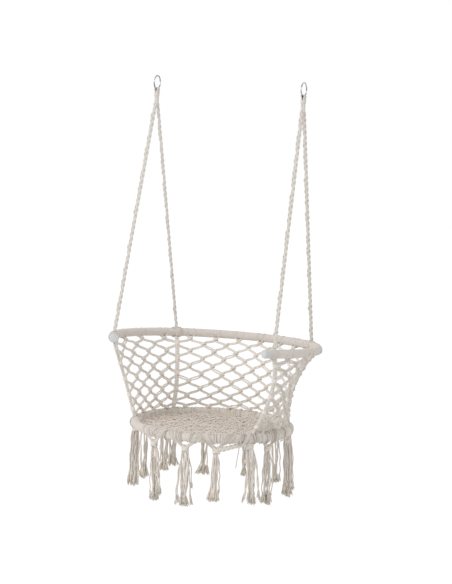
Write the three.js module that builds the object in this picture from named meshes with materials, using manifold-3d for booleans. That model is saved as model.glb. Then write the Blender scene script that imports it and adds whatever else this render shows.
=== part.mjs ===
// Hammock chair: a netted seat and back between two cord-wound hoops,
// hung by four knotted ropes from two steel rings.
// Millimetres, +Z up. The front is -Y and the sitter's left is +X.
// The origin is midway between the centres of the two hanging rings.

import * as THREE from 'three';
import { mergeVertices } from 'three/addons/utils/BufferGeometryUtils.js';
import Module from 'manifold-3d';

const wasm = await Module();
wasm.setup();

const radians = THREE.MathUtils.degToRad;
const lerp = THREE.MathUtils.lerp;
const fullTurn = 360;
const halfTurn = fullTurn / 2;

// Driving dimensions

const fit = 0.3;                      // gap left between pieces that touch

// The two hoops: wound steel tube
const seatHoopRadius = 287;           // to the middle of the tube
const backHoopRadius = 384;
const backHoopHeight = 313;           // of the back hoop's middle over the seat hoop
const backHoopPitch = 3;              // degrees that the back hoop dips towards the rear
const tubeRadius = 12.5;
const tubeWall = 1.5;
const windingThickness = 3.2;         // one layer of cord wound round the tube
const windingClearance = 0.3;         // between the tube and the cord round it
const armOpening = 50.5;              // degrees from the front to the tip of each arm
const seamGap = 0.8;                  // where the seat hoop's tube and cord meet at the rear
const sleeveLength = 40;              // the joint sleeve inside the seat hoop's tube
const sleeveWall = 2;

// The plastic cap on each arm
const capRadius = 15.5;
const capLength = 32;
const capEdge = 5;                    // rounding of the cap's outer end
const plugLength = 18;                // the part of the cap inside the tube
const plugClearance = 1.6;

// The hanging rings and what hangs from them
const ringHeight = 1269;              // over the seat hoop's plane
const ringSide = 297.6;               // from the middle plane
const ringSetback = 25.6;             // behind the seat hoop's middle
const ringRadius = 25.5;              // to the middle of the wire
const ringWireRadius = 2.5;
const eyeCordRadius = 4;
const eyeClearance = 0.7;             // between the cord eye and the ring's wire, all round
const eyeDrop = 14;                   // length of the eye's straight sides
const bindingRadius = 9;              // at the top of the binding
const bindingFootRadius = 13.5;       // at its bottom, where two ropes come out
const bindingLength = 45;
const hangTilt = 1.49;                // degrees that the seat leans back, so that it hangs at rest

// The knotted ropes and the posts that carry on below the back hoop
const ropeRadius = 6.5;
const ropeSpacing = 1;                // between the two ropes under a binding
const sideSway = 5;                   // degrees that the ropes lean when the seat sways sideways
const postRadius = 6.5;
const postDrawRear = 30;              // how far a rear post bows inwards
const postSweep = 7.5;                // degrees that a side net draws its front post to the rear
const hitchWidth = 21;                // cord turns that tie a rope to a hoop
const hitchThickness = 5;
const hitchClearance = 1.2;           // between the hitch and the hoop's cord

// The nets
const knotHalf = 5.5;                 // from a knot's middle to its corner
const netThickness = 5;
const backDraw = 12;                  // how far the back net bows in past its posts
const sideDraw = 20;                  // how far a side net bows in past its posts
const seatCell = 60;                  // diagonal of one opening of the seat net
const seatSag = 14;                   // dip of the seat net's middle
const seatRimReach = 14;              // no seat knot lies closer to the rim than this

// The tassels under the seat hoop
const tasselLength = 250;             // from the seat hoop's middle to the strands' ends
const tasselKnotDrop = 26;            // from the hoop's cord to the middle of a tassel's knot
const tasselKnotRadius = 10;
const tasselNeckRadius = 8;
const tasselSkirtRadius = 17;
const tasselLegRadius = 3.5;
const tasselSpread = 5.5;             // degrees from a tassel's middle to each of its legs
const legTurns = [-67.5, -22.5, 22.5, 67.5];   // degrees round the hoop that each leg lies over

// Where the posts stand, in degrees from the front towards +X, on each hoop

const posts = {
  right_front: { back: -57.3, seat: -65.5, draw: 0, sweep: -postSweep },
  right_rear: { back: -132.3, seat: -123, draw: postDrawRear, sweep: 0 },
  left_rear: { back: 132.3, seat: 120.5, draw: postDrawRear, sweep: 0 },
  left_front: { back: 57.3, seat: 52.5, draw: 0, sweep: postSweep },
};

// Rows and columns of the wall nets, chosen by eye as shares

const rowShares = [1, 0.865, 0.775, 0.685, 0.59, 0.495, 0.4, 0.31, 0.22, 0.14, 0];
const backColumnShares = [0, 0.175, 0.32, 0.47, 0.61, 0.75, 0.875, 1];
const sideColumnShares = [0, 0.245, 0.49, 0.73, 1];

// Tassels between the posts: degrees from the front, and shares of the usual length, width and spread

const tasselTurns = [-150, -115, -90.4, -22.6, 5.2, 28.1, 70.2, 112.6, 147.3, 178.4];
const tasselLengthShares = [1.02, 0.91, 0.94, 1.02, 1.01, 0.9, 1.02, 0.94, 0.96, 0.95];
const tasselWidthShares = [1, 0.8, 1, 1.2, 1, 1.1, 1.1, 0.8, 0.9, 0.8];
const tasselSpreadShares = [1, 0.55, 1, 1, 1, 1, 1, 0.45, 1, 1];

// Tassels of loose rope ends, straight under the posts: shares of the usual length and width

const tailLengthShares = { right_front: 0.95, right_rear: 0.83, left_rear: 1.07, left_front: 0.91 };
const tailWidthShares = { right_front: 0.8, right_rear: 0.7, left_rear: 0.9, left_front: 1.1 };

// A tassel's outline: its hem and its middle as shares of its height, the middle's flare as a share
// of the full flare, and its neck, waist and shoulder as shares of the knot's radius under its top

const hemShares = [0.03, 0.12];
const middleShare = 0.5;
const flareShare = 0.5;
const knotShares = [2, 1.3, 0.6];

// Counts of facets

const seatHoopSteps = 40;
const backHoopSteps = 28;
const tubeSides = 6;
const windingSides = 8;
const roundSides = 12;
const ropeSides = 8;
const postSteps = 8;
const ringSteps = 28;
const ringSides = 6;
const eyeSteps = 16;
const eyeSides = 6;
const domeSteps = 4;
const legSteps = 6;
const legSides = 5;
const skirtSides = 7;

// Finishes

const cotton = { color: 0xe4ddd0, roughness: 0.95, metalness: 0 };
const cottonShade = { color: 0xd9d0c1, roughness: 0.95, metalness: 0 };
const steel = { color: 0x8f9295, roughness: 0.28, metalness: 1 };
const hiddenSteel = { color: 0xb9bcbe, roughness: 0.45, metalness: 0.8 };
const whitePlastic = { color: 0xf1f1f0, roughness: 0.35, metalness: 0 };

// Sizes that follow from the others

const windingBore = tubeRadius + windingClearance;
const windingRadius = windingBore + windingThickness;
const tubeBore = tubeRadius - tubeWall;
const seatFacetDip = seatHoopRadius * (1 - Math.cos(radians(halfTurn / seatHoopSteps)));
const capTurn = THREE.MathUtils.radToDeg(capLength / backHoopRadius);
const armTurn = armOpening + capTurn;
const backFacetDip = backHoopRadius
  * (1 - Math.cos(radians((halfTurn - armTurn) / backHoopSteps)));
const hitchBore = (windingRadius + hitchClearance) / Math.cos(radians(halfTurn / roundSides));
const hitchRadius = hitchBore + hitchThickness;

// Places on the hoops and on the netted wall between them

function outward(turn) {
  return new THREE.Vector3(Math.sin(radians(turn)), -Math.cos(radians(turn)), 0);
}

function along(turn) {
  return new THREE.Vector3(Math.cos(radians(turn)), Math.sin(radians(turn)), 0);
}

const pitchTurn = new THREE.Euler(-radians(backHoopPitch), 0, 0);

function seatPoint(turn) {
  return outward(turn).multiplyScalar(seatHoopRadius);
}

function backPoint(turn) {
  const point = outward(turn).multiplyScalar(backHoopRadius).applyEuler(pitchTurn);
  point.z += backHoopHeight;
  return point;
}

function backAlong(turn) {
  return along(turn).applyEuler(pitchTurn);
}

// A point of the wall between two posts: across runs from the first post to the second,
// and rise from the seat hoop to the back hoop
const bowAt = (rise) => 4 * rise * (1 - rise);

function wallTurn(panel, across, rise) {
  const from = lerp(panel.from.seat, panel.from.back, rise) + bowAt(rise) * panel.from.sweep;
  const to = lerp(panel.to.seat, panel.to.back, rise) + bowAt(rise) * panel.to.sweep;
  return lerp(from, to, across);
}

function wallPoint(panel, across, rise) {
  const turn = wallTurn(panel, across, rise);
  const draw = lerp(panel.from.draw, panel.to.draw, across) + panel.draw * Math.sin(Math.PI * across);
  return seatPoint(turn).lerp(backPoint(turn), rise).addScaledVector(outward(turn), -bowAt(rise) * draw);
}

// The rise at which the wall is a given distance, square to the hoop, from one of its hoops
function riseAt(panel, across, distance, fromTop) {
  const endRise = fromTop ? 1 : 0;
  const end = wallPoint(panel, across, endRise);
  const hoopWay = (fromTop ? backAlong : along)(wallTurn(panel, across, endRise));
  let near = 0;
  let far = 0.5;
  for (let i = 0; i < 30; i += 1) {
    const middle = (near + far) / 2;
    const offset = wallPoint(panel, across, fromTop ? 1 - middle : middle).sub(end);
    const reached = Math.sqrt(offset.lengthSq() - offset.dot(hoopWay) ** 2);
    if (reached < distance) near = middle;
    else far = middle;
  }
  return fromTop ? 1 - near : near;
}

// Shapes

function polygon(radius, sides) {
  const points = [];
  for (let i = 0; i < sides; i += 1) {
    const angle = (i + 0.5) * 2 * Math.PI / sides;
    points.push(new THREE.Vector2(radius * Math.cos(angle), radius * Math.sin(angle)));
  }
  return points;
}

function tubeShape(radius, sides, bore = 0, boreSides = sides) {
  const shape = new THREE.Shape(polygon(radius, sides));
  if (bore > 0) shape.holes.push(new THREE.Path(polygon(bore, boreSides).reverse()));
  return shape;
}

class HoopArc extends THREE.Curve {
  constructor(radius, startTurn, endTurn) {
    super();
    this.radius = radius;
    this.startTurn = startTurn;
    this.endTurn = endTurn;
  }

  getPoint(share, target = new THREE.Vector3()) {
    return target.copy(outward(lerp(this.startTurn, this.endTurn, share))).multiplyScalar(this.radius);
  }
}

function sweep(shape, path, steps) {
  return new THREE.ExtrudeGeometry(shape, { extrudePath: path, steps, bevelEnabled: false });
}

// A turned piece: the profile's points are radius and height, and the height runs along axis from base
function turned(profile, sides, base, axis) {
  const geometry = new THREE.LatheGeometry(profile.map(([r, h]) => new THREE.Vector2(r, h)), sides);
  geometry.applyQuaternion(new THREE.Quaternion().setFromUnitVectors(new THREE.Vector3(0, 1, 0), axis));
  return geometry.translate(base.x, base.y, base.z);
}

// The profile of a half ball whose middle is at a height: it ends on the axis where it looks up,
// and starts there where it looks down
function dome(radius, height, look) {
  const profile = [];
  for (let i = 0; i <= domeSteps; i += 1) {
    const angle = (i / domeSteps) * Math.PI / 2;
    const reach = i < domeSteps ? radius * Math.cos(angle) : 0;
    profile.push([reach, height + look * radius * Math.sin(angle)]);
  }
  return look > 0 ? profile : profile.reverse();
}

// Joining with the solid modeller

function toSolid(geometry) {
  const bare = geometry.clone();
  bare.deleteAttribute('normal');
  bare.deleteAttribute('uv');
  const merged = mergeVertices(bare);
  return new wasm.Manifold(new wasm.Mesh({
    numProp: 3,
    vertProperties: new Float32Array(merged.attributes.position.array),
    triVerts: new Uint32Array(merged.index.array),
  }));
}

function fromSolid(solid) {
  const mesh = solid.getMesh();
  const geometry = new THREE.BufferGeometry();
  geometry.setAttribute('position', new THREE.BufferAttribute(mesh.vertProperties, 3));
  geometry.setIndex(new THREE.BufferAttribute(mesh.triVerts, 1));
  return geometry;
}

function join(geometries) {
  return fromSolid(geometries.map(toSolid).reduce((whole, solid) => whole.add(solid)));
}

// Nets: each knot is a flat block with four side faces, and a strand joins two facing sides.
// Side 0 looks up and right, 1 down and right, 2 down and left, 3 up and left.

function knotAt(at, right, out) {
  const up = new THREE.Vector3().crossVectors(out, right);
  const corners = [up, right, up.clone().negate(), right.clone().negate()];
  const face = (side) => corners.map((corner) => at.clone()
    .addScaledVector(corner, knotHalf)
    .addScaledVector(out, side * netThickness / 2));
  return { at, front: face(1), rear: face(-1), strands: [null, null, null, null] };
}

function linkKnots(knot, side, other) {
  knot.strands[side] = { knot: other, side: (side + 2) % 4 };
  other.strands[(side + 2) % 4] = { knot, side };
}

// A strand that ends against the rim: its end face is square to the strand
function endStrand(knot, side, length) {
  knot.strands[side] = { length };
}

function netGeometry(knots) {
  const positions = [];
  const faces = [];
  const add = (point) => positions.push(point.x, point.y, point.z) / 3 - 1;
  const quad = (a, b, c, d) => faces.push(a, b, c, a, c, d);
  for (const knot of knots) {
    knot.frontIndex = knot.front.map(add);
    knot.rearIndex = knot.rear.map(add);
  }
  for (const knot of knots) {
    const front = knot.frontIndex;
    const rear = knot.rearIndex;
    quad(front[0], front[3], front[2], front[1]);
    quad(rear[0], rear[1], rear[2], rear[3]);
    knot.strands.forEach((strand, side) => {
      const next = (side + 1) % 4;
      if (!strand) {
        quad(front[side], front[next], rear[next], rear[side]);
        return;
      }
      if (strand.knot && knots.indexOf(strand.knot) < knots.indexOf(knot)) return;
      let end;
      if (strand.knot) {
        const other = strand.knot;
        const otherNext = (strand.side + 1) % 4;
        end = [other.frontIndex[strand.side], other.frontIndex[otherNext],
          other.rearIndex[otherNext], other.rearIndex[strand.side]];
      } else {
        const middle = knot.front[side].clone().add(knot.rear[next]).divideScalar(2);
        const ahead = middle.sub(knot.at).normalize().multiplyScalar(strand.length);
        end = [knot.front[next], knot.front[side], knot.rear[side], knot.rear[next]]
          .map((point) => add(point.clone().add(ahead)));
        quad(end[1], end[0], end[3], end[2]);
      }
      quad(front[side], front[next], end[0], end[1]);
      quad(rear[next], rear[side], end[2], end[3]);
      quad(front[next], rear[next], end[3], end[0]);
      quad(rear[side], front[side], end[1], end[2]);
    });
  }
  const geometry = new THREE.BufferGeometry();
  geometry.setAttribute('position', new THREE.Float32BufferAttribute(positions, 3));
  geometry.setIndex(faces);
  return geometry;
}

// The net between two posts. Odd rows have a knot on each column, and the first and last lie
// against the posts. Even rows have their knots halfway between the columns.
function wallNet(panel) {
  const slopeShare = 0.01;
  const wayAcross = (across, rise) => wallPoint(panel, across + slopeShare, rise)
    .sub(wallPoint(panel, across - slopeShare, rise));
  const wayUp = (across, rise) => wallPoint(panel, across, rise + slopeShare)
    .sub(wallPoint(panel, across, rise - slopeShare));
  // The share of the panel's width that a knot keeps from a post, more where the post leans
  const postShare = (post, rise) => {
    const right = wayAcross(post, rise);
    const lean = wayUp(post, rise).normalize().dot(right.clone().normalize());
    const postGap = (postRadius + fit + knotHalf) / Math.sqrt(1 - lean * lean);
    return postGap / (right.length() / (2 * slopeShare));
  };
  const rimGap = windingRadius + Math.max(seatFacetDip, backFacetDip) + fit + knotHalf;
  const rows = rowShares.map((share, row) => {
    const lines = panel.columnShares;
    const odd = row % 2 === 1;
    const places = odd ? lines : lines.slice(1).map((line, i) => (line + lines[i]) / 2);
    return places.map((place) => {
      let rise = share;
      if (row === 0 || row === rowShares.length - 1) rise = riseAt(panel, place, rimGap, row === 0);
      const across = THREE.MathUtils.clamp(place, postShare(0, rise), 1 - postShare(1, rise));
      const right = wayAcross(across, rise).normalize();
      const out = new THREE.Vector3().crossVectors(right, wayUp(across, rise)).normalize();
      return knotAt(wallPoint(panel, across, rise), right, out);
    });
  });
  rows.forEach((knots, row) => {
    if (row % 2 === 1) return;
    knots.forEach((knot, column) => {
      if (row > 0) {
        linkKnots(knot, 3, rows[row - 1][column]);
        linkKnots(knot, 0, rows[row - 1][column + 1]);
      }
      if (row < rows.length - 1) {
        linkKnots(knot, 2, rows[row + 1][column]);
        linkKnots(knot, 1, rows[row + 1][column + 1]);
      }
    });
  });
  return netGeometry(rows.flat());
}

// The seat net: a diamond lattice inside the seat hoop, whose outer strands end against the rim
function seatNet() {
  const strandHalf = knotHalf / Math.SQRT2;
  const rim = seatHoopRadius - windingRadius - seatFacetDip - fit;
  const rimAtHitch = seatHoopRadius - hitchRadius - fit;
  const hitchReach = (hitchWidth + 2 * knotHalf) / 2 + strandHalf;
  const rimNear = (point) => {
    const byHitch = Object.values(posts)
      .some((post) => point.distanceTo(seatPoint(post.seat).setLength(point.length())) < hitchReach);
    return byHitch ? rimAtHitch : rim;
  };
  const pitch = seatCell / 2;
  const reach = Math.ceil(seatHoopRadius / pitch);
  const grid = new Map();
  const place = (i, j) => new THREE.Vector3(i * pitch, j * pitch, 0);
  const lower = (point) => {
    const dip = seatSag * (1 - (point.length() / seatHoopRadius) ** 2);
    return point.clone().setZ(-dip);
  };
  for (let i = -reach; i <= reach; i += 1) {
    for (let j = -reach; j <= reach; j += 1) {
      const point = place(i, j);
      if ((i + j) % 2 === 0 && point.length() < rimAtHitch - seatRimReach) {
        const right = new THREE.Vector3(1, 0, 0);
        grid.set(`${i},${j}`, knotAt(lower(point), right, new THREE.Vector3(0, 0, 1)));
      }
    }
  }
  const ways = [[1, 1], [1, -1], [-1, -1], [-1, 1]];
  for (const [key, knot] of grid) {
    const [i, j] = key.split(',').map(Number);
    ways.forEach(([di, dj], side) => {
      const other = grid.get(`${i + di},${j + dj}`);
      if (other) {
        linkKnots(knot, side, other);
        return;
      }
      const way = place(di, dj).normalize();
      const start = place(i, j).addScaledVector(way, strandHalf);
      const corner = new THREE.Vector3(-way.y, way.x, 0).multiplyScalar(strandHalf);
      const lengths = [1, -1].map((hand) => {
        const from = start.clone().addScaledVector(corner, hand);
        const onWay = from.dot(way);
        const aside = from.lengthSq() - onWay * onWay;
        const open = Math.sqrt(rim * rim - aside) - onWay;
        const radius = rimNear(from.clone().addScaledVector(way, open));
        return Math.sqrt(radius * radius - aside) - onWay;
      });
      endStrand(knot, side, Math.min(...lengths));
    });
  }
  return netGeometry([...grid.values()]);
}

// Ropes, bindings, eyes and rings

const ringPlace = (side) => new THREE.Vector3(side * ringSide, ringSetback, ringHeight);

function ringGeometry(side) {
  const place = ringPlace(side);
  return new THREE.TorusGeometry(ringRadius, ringWireRadius, ringSides, ringSteps)
    .rotateY(Math.PI / 2).translate(place.x, place.y, place.z);
}

const eyeBore = ringWireRadius + eyeClearance;
const eyeRadius = eyeBore + eyeCordRadius;
const ringFacetDip = ringRadius * (1 - Math.cos(Math.PI / ringSteps));
const eyeFacetDip = eyeBore * (1 - Math.cos(Math.PI / eyeSteps));
const eyeTop = ringHeight - ringRadius + fit + ringFacetDip + eyeFacetDip - eyeClearance;
const eyeBottom = eyeTop - eyeDrop - eyeRadius - eyeCordRadius;

// A long link of cord that hangs on the ring's wire
function eyeGeometry(side) {
  const link = new THREE.TorusGeometry(eyeRadius, eyeCordRadius, eyeSides, eyeSteps);
  link.rotateZ(Math.PI / eyeSteps);
  const position = link.attributes.position;
  for (let i = 0; i < position.count; i += 1) {
    if (position.getY(i) < 0) position.setY(i, position.getY(i) - eyeDrop);
  }
  const place = ringPlace(side);
  return link.rotateX(Math.PI / 2).translate(place.x, place.y, eyeTop);
}

const bindingTop = eyeBottom - fit;
const bindingFoot = bindingTop - bindingLength;

// The binding's top is a half ball round the point where the cord flexes as the seat sways
function bindingGeometry(side) {
  const profile = [[0, 0], [bindingFootRadius, 0], [bindingFootRadius, bindingRadius / 2],
    ...dome(bindingRadius, bindingLength - bindingRadius, 1)];
  const foot = ringPlace(side).setZ(bindingFoot);
  return turned(profile, roundSides, foot, new THREE.Vector3(0, 0, 1));
}

// A rope runs straight from under its binding to just above its hitch on the back hoop, where its
// foot is a half ball. The gap there, square to the hoop, grows with how far the foot lies beside
// the axis of the sway, which passes straight under the ring.
function ropeGeometry(side, post, front) {
  const top = ringPlace(side);
  top.y += (front ? -1 : 1) * (ropeRadius + ropeSpacing / 2);
  top.z = bindingFoot;
  const hoop = backPoint(post.back);
  const way = hoop.clone().sub(top).normalize();
  top.addScaledVector(way, (fit + ropeRadius * Math.hypot(way.x, way.y)) / -way.z);
  const swayGap = Math.abs(hoop.x - top.x) * Math.sin(radians(sideSway)) + 2 * fit;
  const square = Math.sqrt(1 - way.dot(backAlong(post.back)) ** 2);
  const reach = (hitchRadius + swayGap + ropeRadius) / square;
  const foot = hoop.clone().addScaledVector(way, ropeRadius - reach);
  const profile = dome(ropeRadius, ropeRadius, -1);
  profile.push([ropeRadius, top.distanceTo(foot)], [0, top.distanceTo(foot)]);
  return turned(profile, ropeSides, foot, way.negate());
}

function hitchGeometry(point, axis) {
  const half = hitchWidth / 2;
  const profile = [[hitchBore, -half], [hitchRadius, -half], [hitchRadius, half], [hitchBore, half],
    [hitchBore, -half]];
  return turned(profile, roundSides, point, axis);
}

// A post follows the wall from the lower hitch to the upper one. Where it leans along a hoop,
// its end stands off by the height of its tilted end face.
function postGeometry(post) {
  const panel = { from: post, to: post, draw: 0 };
  const riseClear = (hoopWay, fromTop) => {
    const rise = riseAt(panel, 0, hitchRadius, fromTop);
    const end = wallPoint(panel, 0, fromTop ? 1 : 0);
    const way = wallPoint(panel, 0, rise).sub(end).normalize();
    return riseAt(panel, 0, hitchRadius + 2 * fit + postRadius * Math.abs(way.dot(hoopWay)), fromTop);
  };
  const low = riseClear(along(post.seat), false);
  const high = riseClear(backAlong(post.back), true);
  const points = [];
  for (let i = 0; i <= postSteps; i += 1) {
    points.push(wallPoint(panel, 0, lerp(low, high, i / postSteps)));
  }
  return sweep(tubeShape(postRadius, ropeSides), new THREE.CatmullRomCurve3(points), postSteps);
}

// Tassels

// The knot and the loose strands under it, seen as one solid of their outer shape
function skirtGeometry(middle, knotTop, bottom, width) {
  const height = knotTop - bottom;
  const [neck, waist, shoulder] = knotShares.map((share) => height - share * tasselKnotRadius);
  const profile = [
    [0, 0],
    ...hemShares.map((share) => [width * tasselSkirtRadius, share * height]),
    [width * lerp(tasselNeckRadius, tasselSkirtRadius, flareShare), middleShare * height],
    [tasselNeckRadius, neck],
    [tasselKnotRadius, waist],
    [tasselKnotRadius, shoulder],
    [0, height],
  ];
  return turned(profile, skirtSides, middle.clone().setZ(bottom), new THREE.Vector3(0, 0, 1));
}

// Two legs lie against the outside of the seat hoop and meet in the knot
function tasselGeometry(turn, lengthShare, widthShare, spreadShare) {
  const legPath = windingRadius + 3 * fit + tasselLegRadius;
  const knotHeight = -(windingRadius + tasselKnotDrop);
  const middle = seatPoint(turn);
  const legs = [-1, 1].map((hand) => {
    const legTurn = turn + hand * tasselSpread * spreadShare;
    const centre = seatPoint(legTurn);
    const points = [middle.clone().setZ(knotHeight)];
    for (const angle of legTurns) {
      points.push(centre.clone()
        .addScaledVector(outward(legTurn), legPath * Math.cos(radians(angle)))
        .setZ(legPath * Math.sin(radians(angle))));
    }
    return sweep(tubeShape(tasselLegRadius, legSides), new THREE.CatmullRomCurve3(points), legSteps);
  });
  const knotTop = knotHeight + tasselKnotRadius;
  const skirt = skirtGeometry(middle, knotTop, -tasselLength * lengthShare, widthShare);
  return join([skirt, ...legs]);
}

function tailGeometry(post, lengthShare, widthShare) {
  const middle = seatPoint(post.seat);
  return skirtGeometry(middle, -hitchRadius - fit, -tasselLength * lengthShare, widthShare);
}

// The joint sleeve lies along the first facets on each side of the seam in the seat hoop's tube
function sleeveGeometry() {
  const seam = seatPoint(halfTurn);
  const facetTurn = fullTurn / seatHoopSteps;
  const ends = [-1, 1].map((hand) => {
    const corner = seatPoint(halfTurn + hand * facetTurn);
    return seam.clone().addScaledVector(corner.sub(seam).normalize(), sleeveLength / 2);
  });
  const path = new THREE.CurvePath();
  path.add(new THREE.LineCurve3(ends[0], seam));
  path.add(new THREE.LineCurve3(seam, ends[1]));
  const radius = tubeBore - fit;
  return sweep(tubeShape(radius, tubeSides, radius - sleeveWall), path, 2);
}

// The cap's plug sits in the arm's tube, and its head stands against the tube's end
function capGeometry(turn) {
  const hand = turn > 0 ? -1 : 1;
  const bore = tubeBore * Math.cos(Math.PI / tubeSides) - plugClearance;
  const head = capLength - fit;
  const profile = [
    [0, -plugLength], [bore, -plugLength], [bore, fit], [capRadius, fit],
    [capRadius, head - capEdge], [capRadius - capEdge / 3, head - capEdge / 3],
    [capRadius - capEdge, head], [0, head],
  ];
  return turned(profile, roundSides, backPoint(turn), backAlong(turn).multiplyScalar(hand));
}

// The hoops

const seamTurn = THREE.MathUtils.radToDeg(seamGap / 2 / seatHoopRadius);
const seatArc = new HoopArc(seatHoopRadius, halfTurn + seamTurn, halfTurn + fullTurn - seamTurn);
const backArc = new HoopArc(backHoopRadius, armTurn, fullTurn - armTurn);
const tubeSection = tubeShape(tubeRadius, tubeSides, tubeBore);
const windingSection = tubeShape(windingRadius, windingSides, windingBore, tubeSides);

function placeBack(geometry) {
  return geometry.rotateX(-radians(backHoopPitch)).translate(0, 0, backHoopHeight);
}

// The assembly

const chair = new THREE.Group();
chair.position.set(0, -ringSetback, -ringHeight);
const hung = new THREE.Group();
hung.rotation.x = -radians(hangTilt);
hung.add(chair);

function piece(name, geometry, finish) {
  const mesh = new THREE.Mesh(geometry, new THREE.MeshStandardMaterial(finish));
  mesh.name = name;
  chair.add(mesh);
}

for (const [hand, side] of [['left', 1], ['right', -1]]) {
  piece(`${hand}_ring`, ringGeometry(side), steel);
  piece(`${hand}_eye`, eyeGeometry(side), cotton);
  piece(`${hand}_binding`, bindingGeometry(side), cotton);
  for (const place of ['front', 'rear']) {
    const name = `${hand}_${place}`;
    const post = posts[name];
    piece(`${name}_rope`, ropeGeometry(side, post, place === 'front'), cotton);
    piece(`${name}_upper_hitch`, hitchGeometry(backPoint(post.back), backAlong(post.back)), cottonShade);
    piece(`${name}_post`, postGeometry(post), cotton);
    piece(`${name}_lower_hitch`, hitchGeometry(seatPoint(post.seat), along(post.seat)), cottonShade);
    piece(`${name}_tail`, tailGeometry(post, tailLengthShares[name], tailWidthShares[name]), cotton);
  }
  piece(`${hand}_end_cap`, capGeometry(side * armTurn), whitePlastic);
}

piece('back_hoop_tube', placeBack(sweep(tubeSection, backArc, backHoopSteps)), hiddenSteel);
piece('back_hoop_winding', placeBack(sweep(windingSection, backArc, backHoopSteps)), cotton);
piece('seat_hoop_tube', sweep(tubeSection, seatArc, seatHoopSteps), hiddenSteel);
piece('seat_hoop_winding', sweep(windingSection, seatArc, seatHoopSteps), cotton);
piece('seat_hoop_sleeve', sleeveGeometry(), hiddenSteel);

const behind = { back: posts.left_rear.back - fullTurn, seat: posts.left_rear.seat - fullTurn };
const panels = {
  right_net: {
    from: posts.right_rear,
    to: posts.right_front,
    draw: sideDraw,
    columnShares: sideColumnShares,
  },
  back_net: {
    from: posts.right_rear,
    to: { ...posts.left_rear, ...behind },
    draw: backDraw,
    columnShares: backColumnShares,
  },
  left_net: {
    from: posts.left_rear,
    to: posts.left_front,
    draw: sideDraw,
    columnShares: sideColumnShares,
  },
};
for (const [name, panel] of Object.entries(panels)) piece(name, wallNet(panel), cottonShade);
piece('seat_net', seatNet(), cottonShade);

tasselTurns.forEach((turn, i) => {
  const name = `tassel_${String(i + 1).padStart(2, '0')}`;
  const geometry = tasselGeometry(turn, tasselLengthShares[i], tasselWidthShares[i], tasselSpreadShares[i]);
  piece(name, geometry, cotton);
});

export default hung;
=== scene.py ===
# Hammock chair: a netted seat and back between two cord-wound hoops, hung by four plaited ropes.
# Metres, +Z up. The front is -Y and the sitter's left is +X.
# Shapes are worked out upright, from the middle of the seat hoop, and hung() puts them in place.

import math
import bpy
import numpy as np
from mathutils import Matrix, Vector


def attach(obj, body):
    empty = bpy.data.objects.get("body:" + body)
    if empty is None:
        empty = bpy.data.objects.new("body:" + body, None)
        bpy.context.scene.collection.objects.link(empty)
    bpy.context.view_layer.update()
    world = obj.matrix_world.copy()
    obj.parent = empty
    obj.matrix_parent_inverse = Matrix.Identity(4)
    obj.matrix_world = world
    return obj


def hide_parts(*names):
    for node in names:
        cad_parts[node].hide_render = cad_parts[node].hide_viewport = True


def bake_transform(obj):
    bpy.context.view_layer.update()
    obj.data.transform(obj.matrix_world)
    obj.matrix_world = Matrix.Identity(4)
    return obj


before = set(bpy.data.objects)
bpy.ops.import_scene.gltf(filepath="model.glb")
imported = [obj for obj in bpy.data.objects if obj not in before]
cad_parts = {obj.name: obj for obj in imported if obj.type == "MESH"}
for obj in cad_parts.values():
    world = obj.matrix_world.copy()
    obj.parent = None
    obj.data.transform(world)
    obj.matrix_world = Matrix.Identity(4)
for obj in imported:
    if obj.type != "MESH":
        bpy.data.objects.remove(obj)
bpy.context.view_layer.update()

# The chair's sizes, as in the frame
chair = {
    "seatHoopRadius": 0.287,      # to the middle of the tube
    "backHoopRadius": 0.384,
    "backHoopHeight": 0.313,      # over the seat hoop
    "backHoopPitch": 3.0,         # degrees that the back hoop dips to the rear
    "windingRadius": 0.016,
    "windingBore": 0.0128,
    "armTurn": 55.27,             # degrees from the front to where the cord round each arm ends
    "ringHeight": 1.269,
    "ringSide": 0.2976,
    "ringSetback": 0.0256,
    "ringRadius": 0.0255,
    "hangTilt": 1.49,             # degrees that the seat leans back
}
sides = {"left": 1, "right": -1}

# Where each post stands on either hoop in degrees, how far it bows in and how many degrees it
# sweeps back, its share of postLook's width and how much of that it loses downwards, the painted
# shade of its lightest cords, its rope's share of ropeLook's width, and the shade in that rope's crossings
postKeys = ("back", "seat", "draw", "sweep", "broad", "thin", "tint", "rope", "ropeShade")
posts = {
    "right_front": (-57.3, -65.5, 0.0, -7.5, 0.72, 0.0, -0.12, 1.02, 0.98),
    "right_rear": (-132.3, -123.0, 0.03, 0.0, 0.84, 0.0, 0.0, 0.84, 0.45),
    "left_rear": (132.3, 120.5, 0.03, 0.0, 0.95, 0.0, -0.22, 1.03, 0.92),
    "left_front": (57.3, 52.5, 0.0, 7.5, 0.95, 0.45, -0.12, 1.05, 0.98),
}
posts = {name: dict(zip(postKeys, row)) for name, row in posts.items()}


def unit(vectors):
    return vectors / np.maximum(np.linalg.norm(vectors, axis=-1, keepdims=True), 1e-12)


def down(distance):
    return np.array([0.0, 0.0, -distance])


def outward(turns):
    angle = np.radians(turns)
    return np.stack([np.sin(angle), -np.cos(angle), 0 * angle], -1)


def along(turns):
    return outward(np.asarray(turns) + 90.0)


def pitched(vectors, degrees):
    # turned about X so that what points to the rear dips by the given degrees
    c, s = math.cos(math.radians(degrees)), math.sin(math.radians(degrees))
    x, y, z = np.moveaxis(np.asarray(vectors, float), -1, 0)
    return np.stack([x, y * c + z * s, z * c - y * s], -1)


def aroundHoop(hoop, turns, angles, radius):
    # a point beside a hoop: the turn round the chair, the angle round the hoop's own section
    # from its outside over its top, and the distance from the tube's middle
    turns, angles, radius = np.broadcast_arrays(turns, np.radians(angles), radius)
    reach = chair[hoop + "HoopRadius"] + radius * np.cos(angles)
    points = outward(turns) * reach[..., None]
    points[..., 2] = radius * np.sin(angles)
    if hoop == "back":
        points = pitched(points, chair["backHoopPitch"]) - down(chair["backHoopHeight"])
    return points


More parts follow.
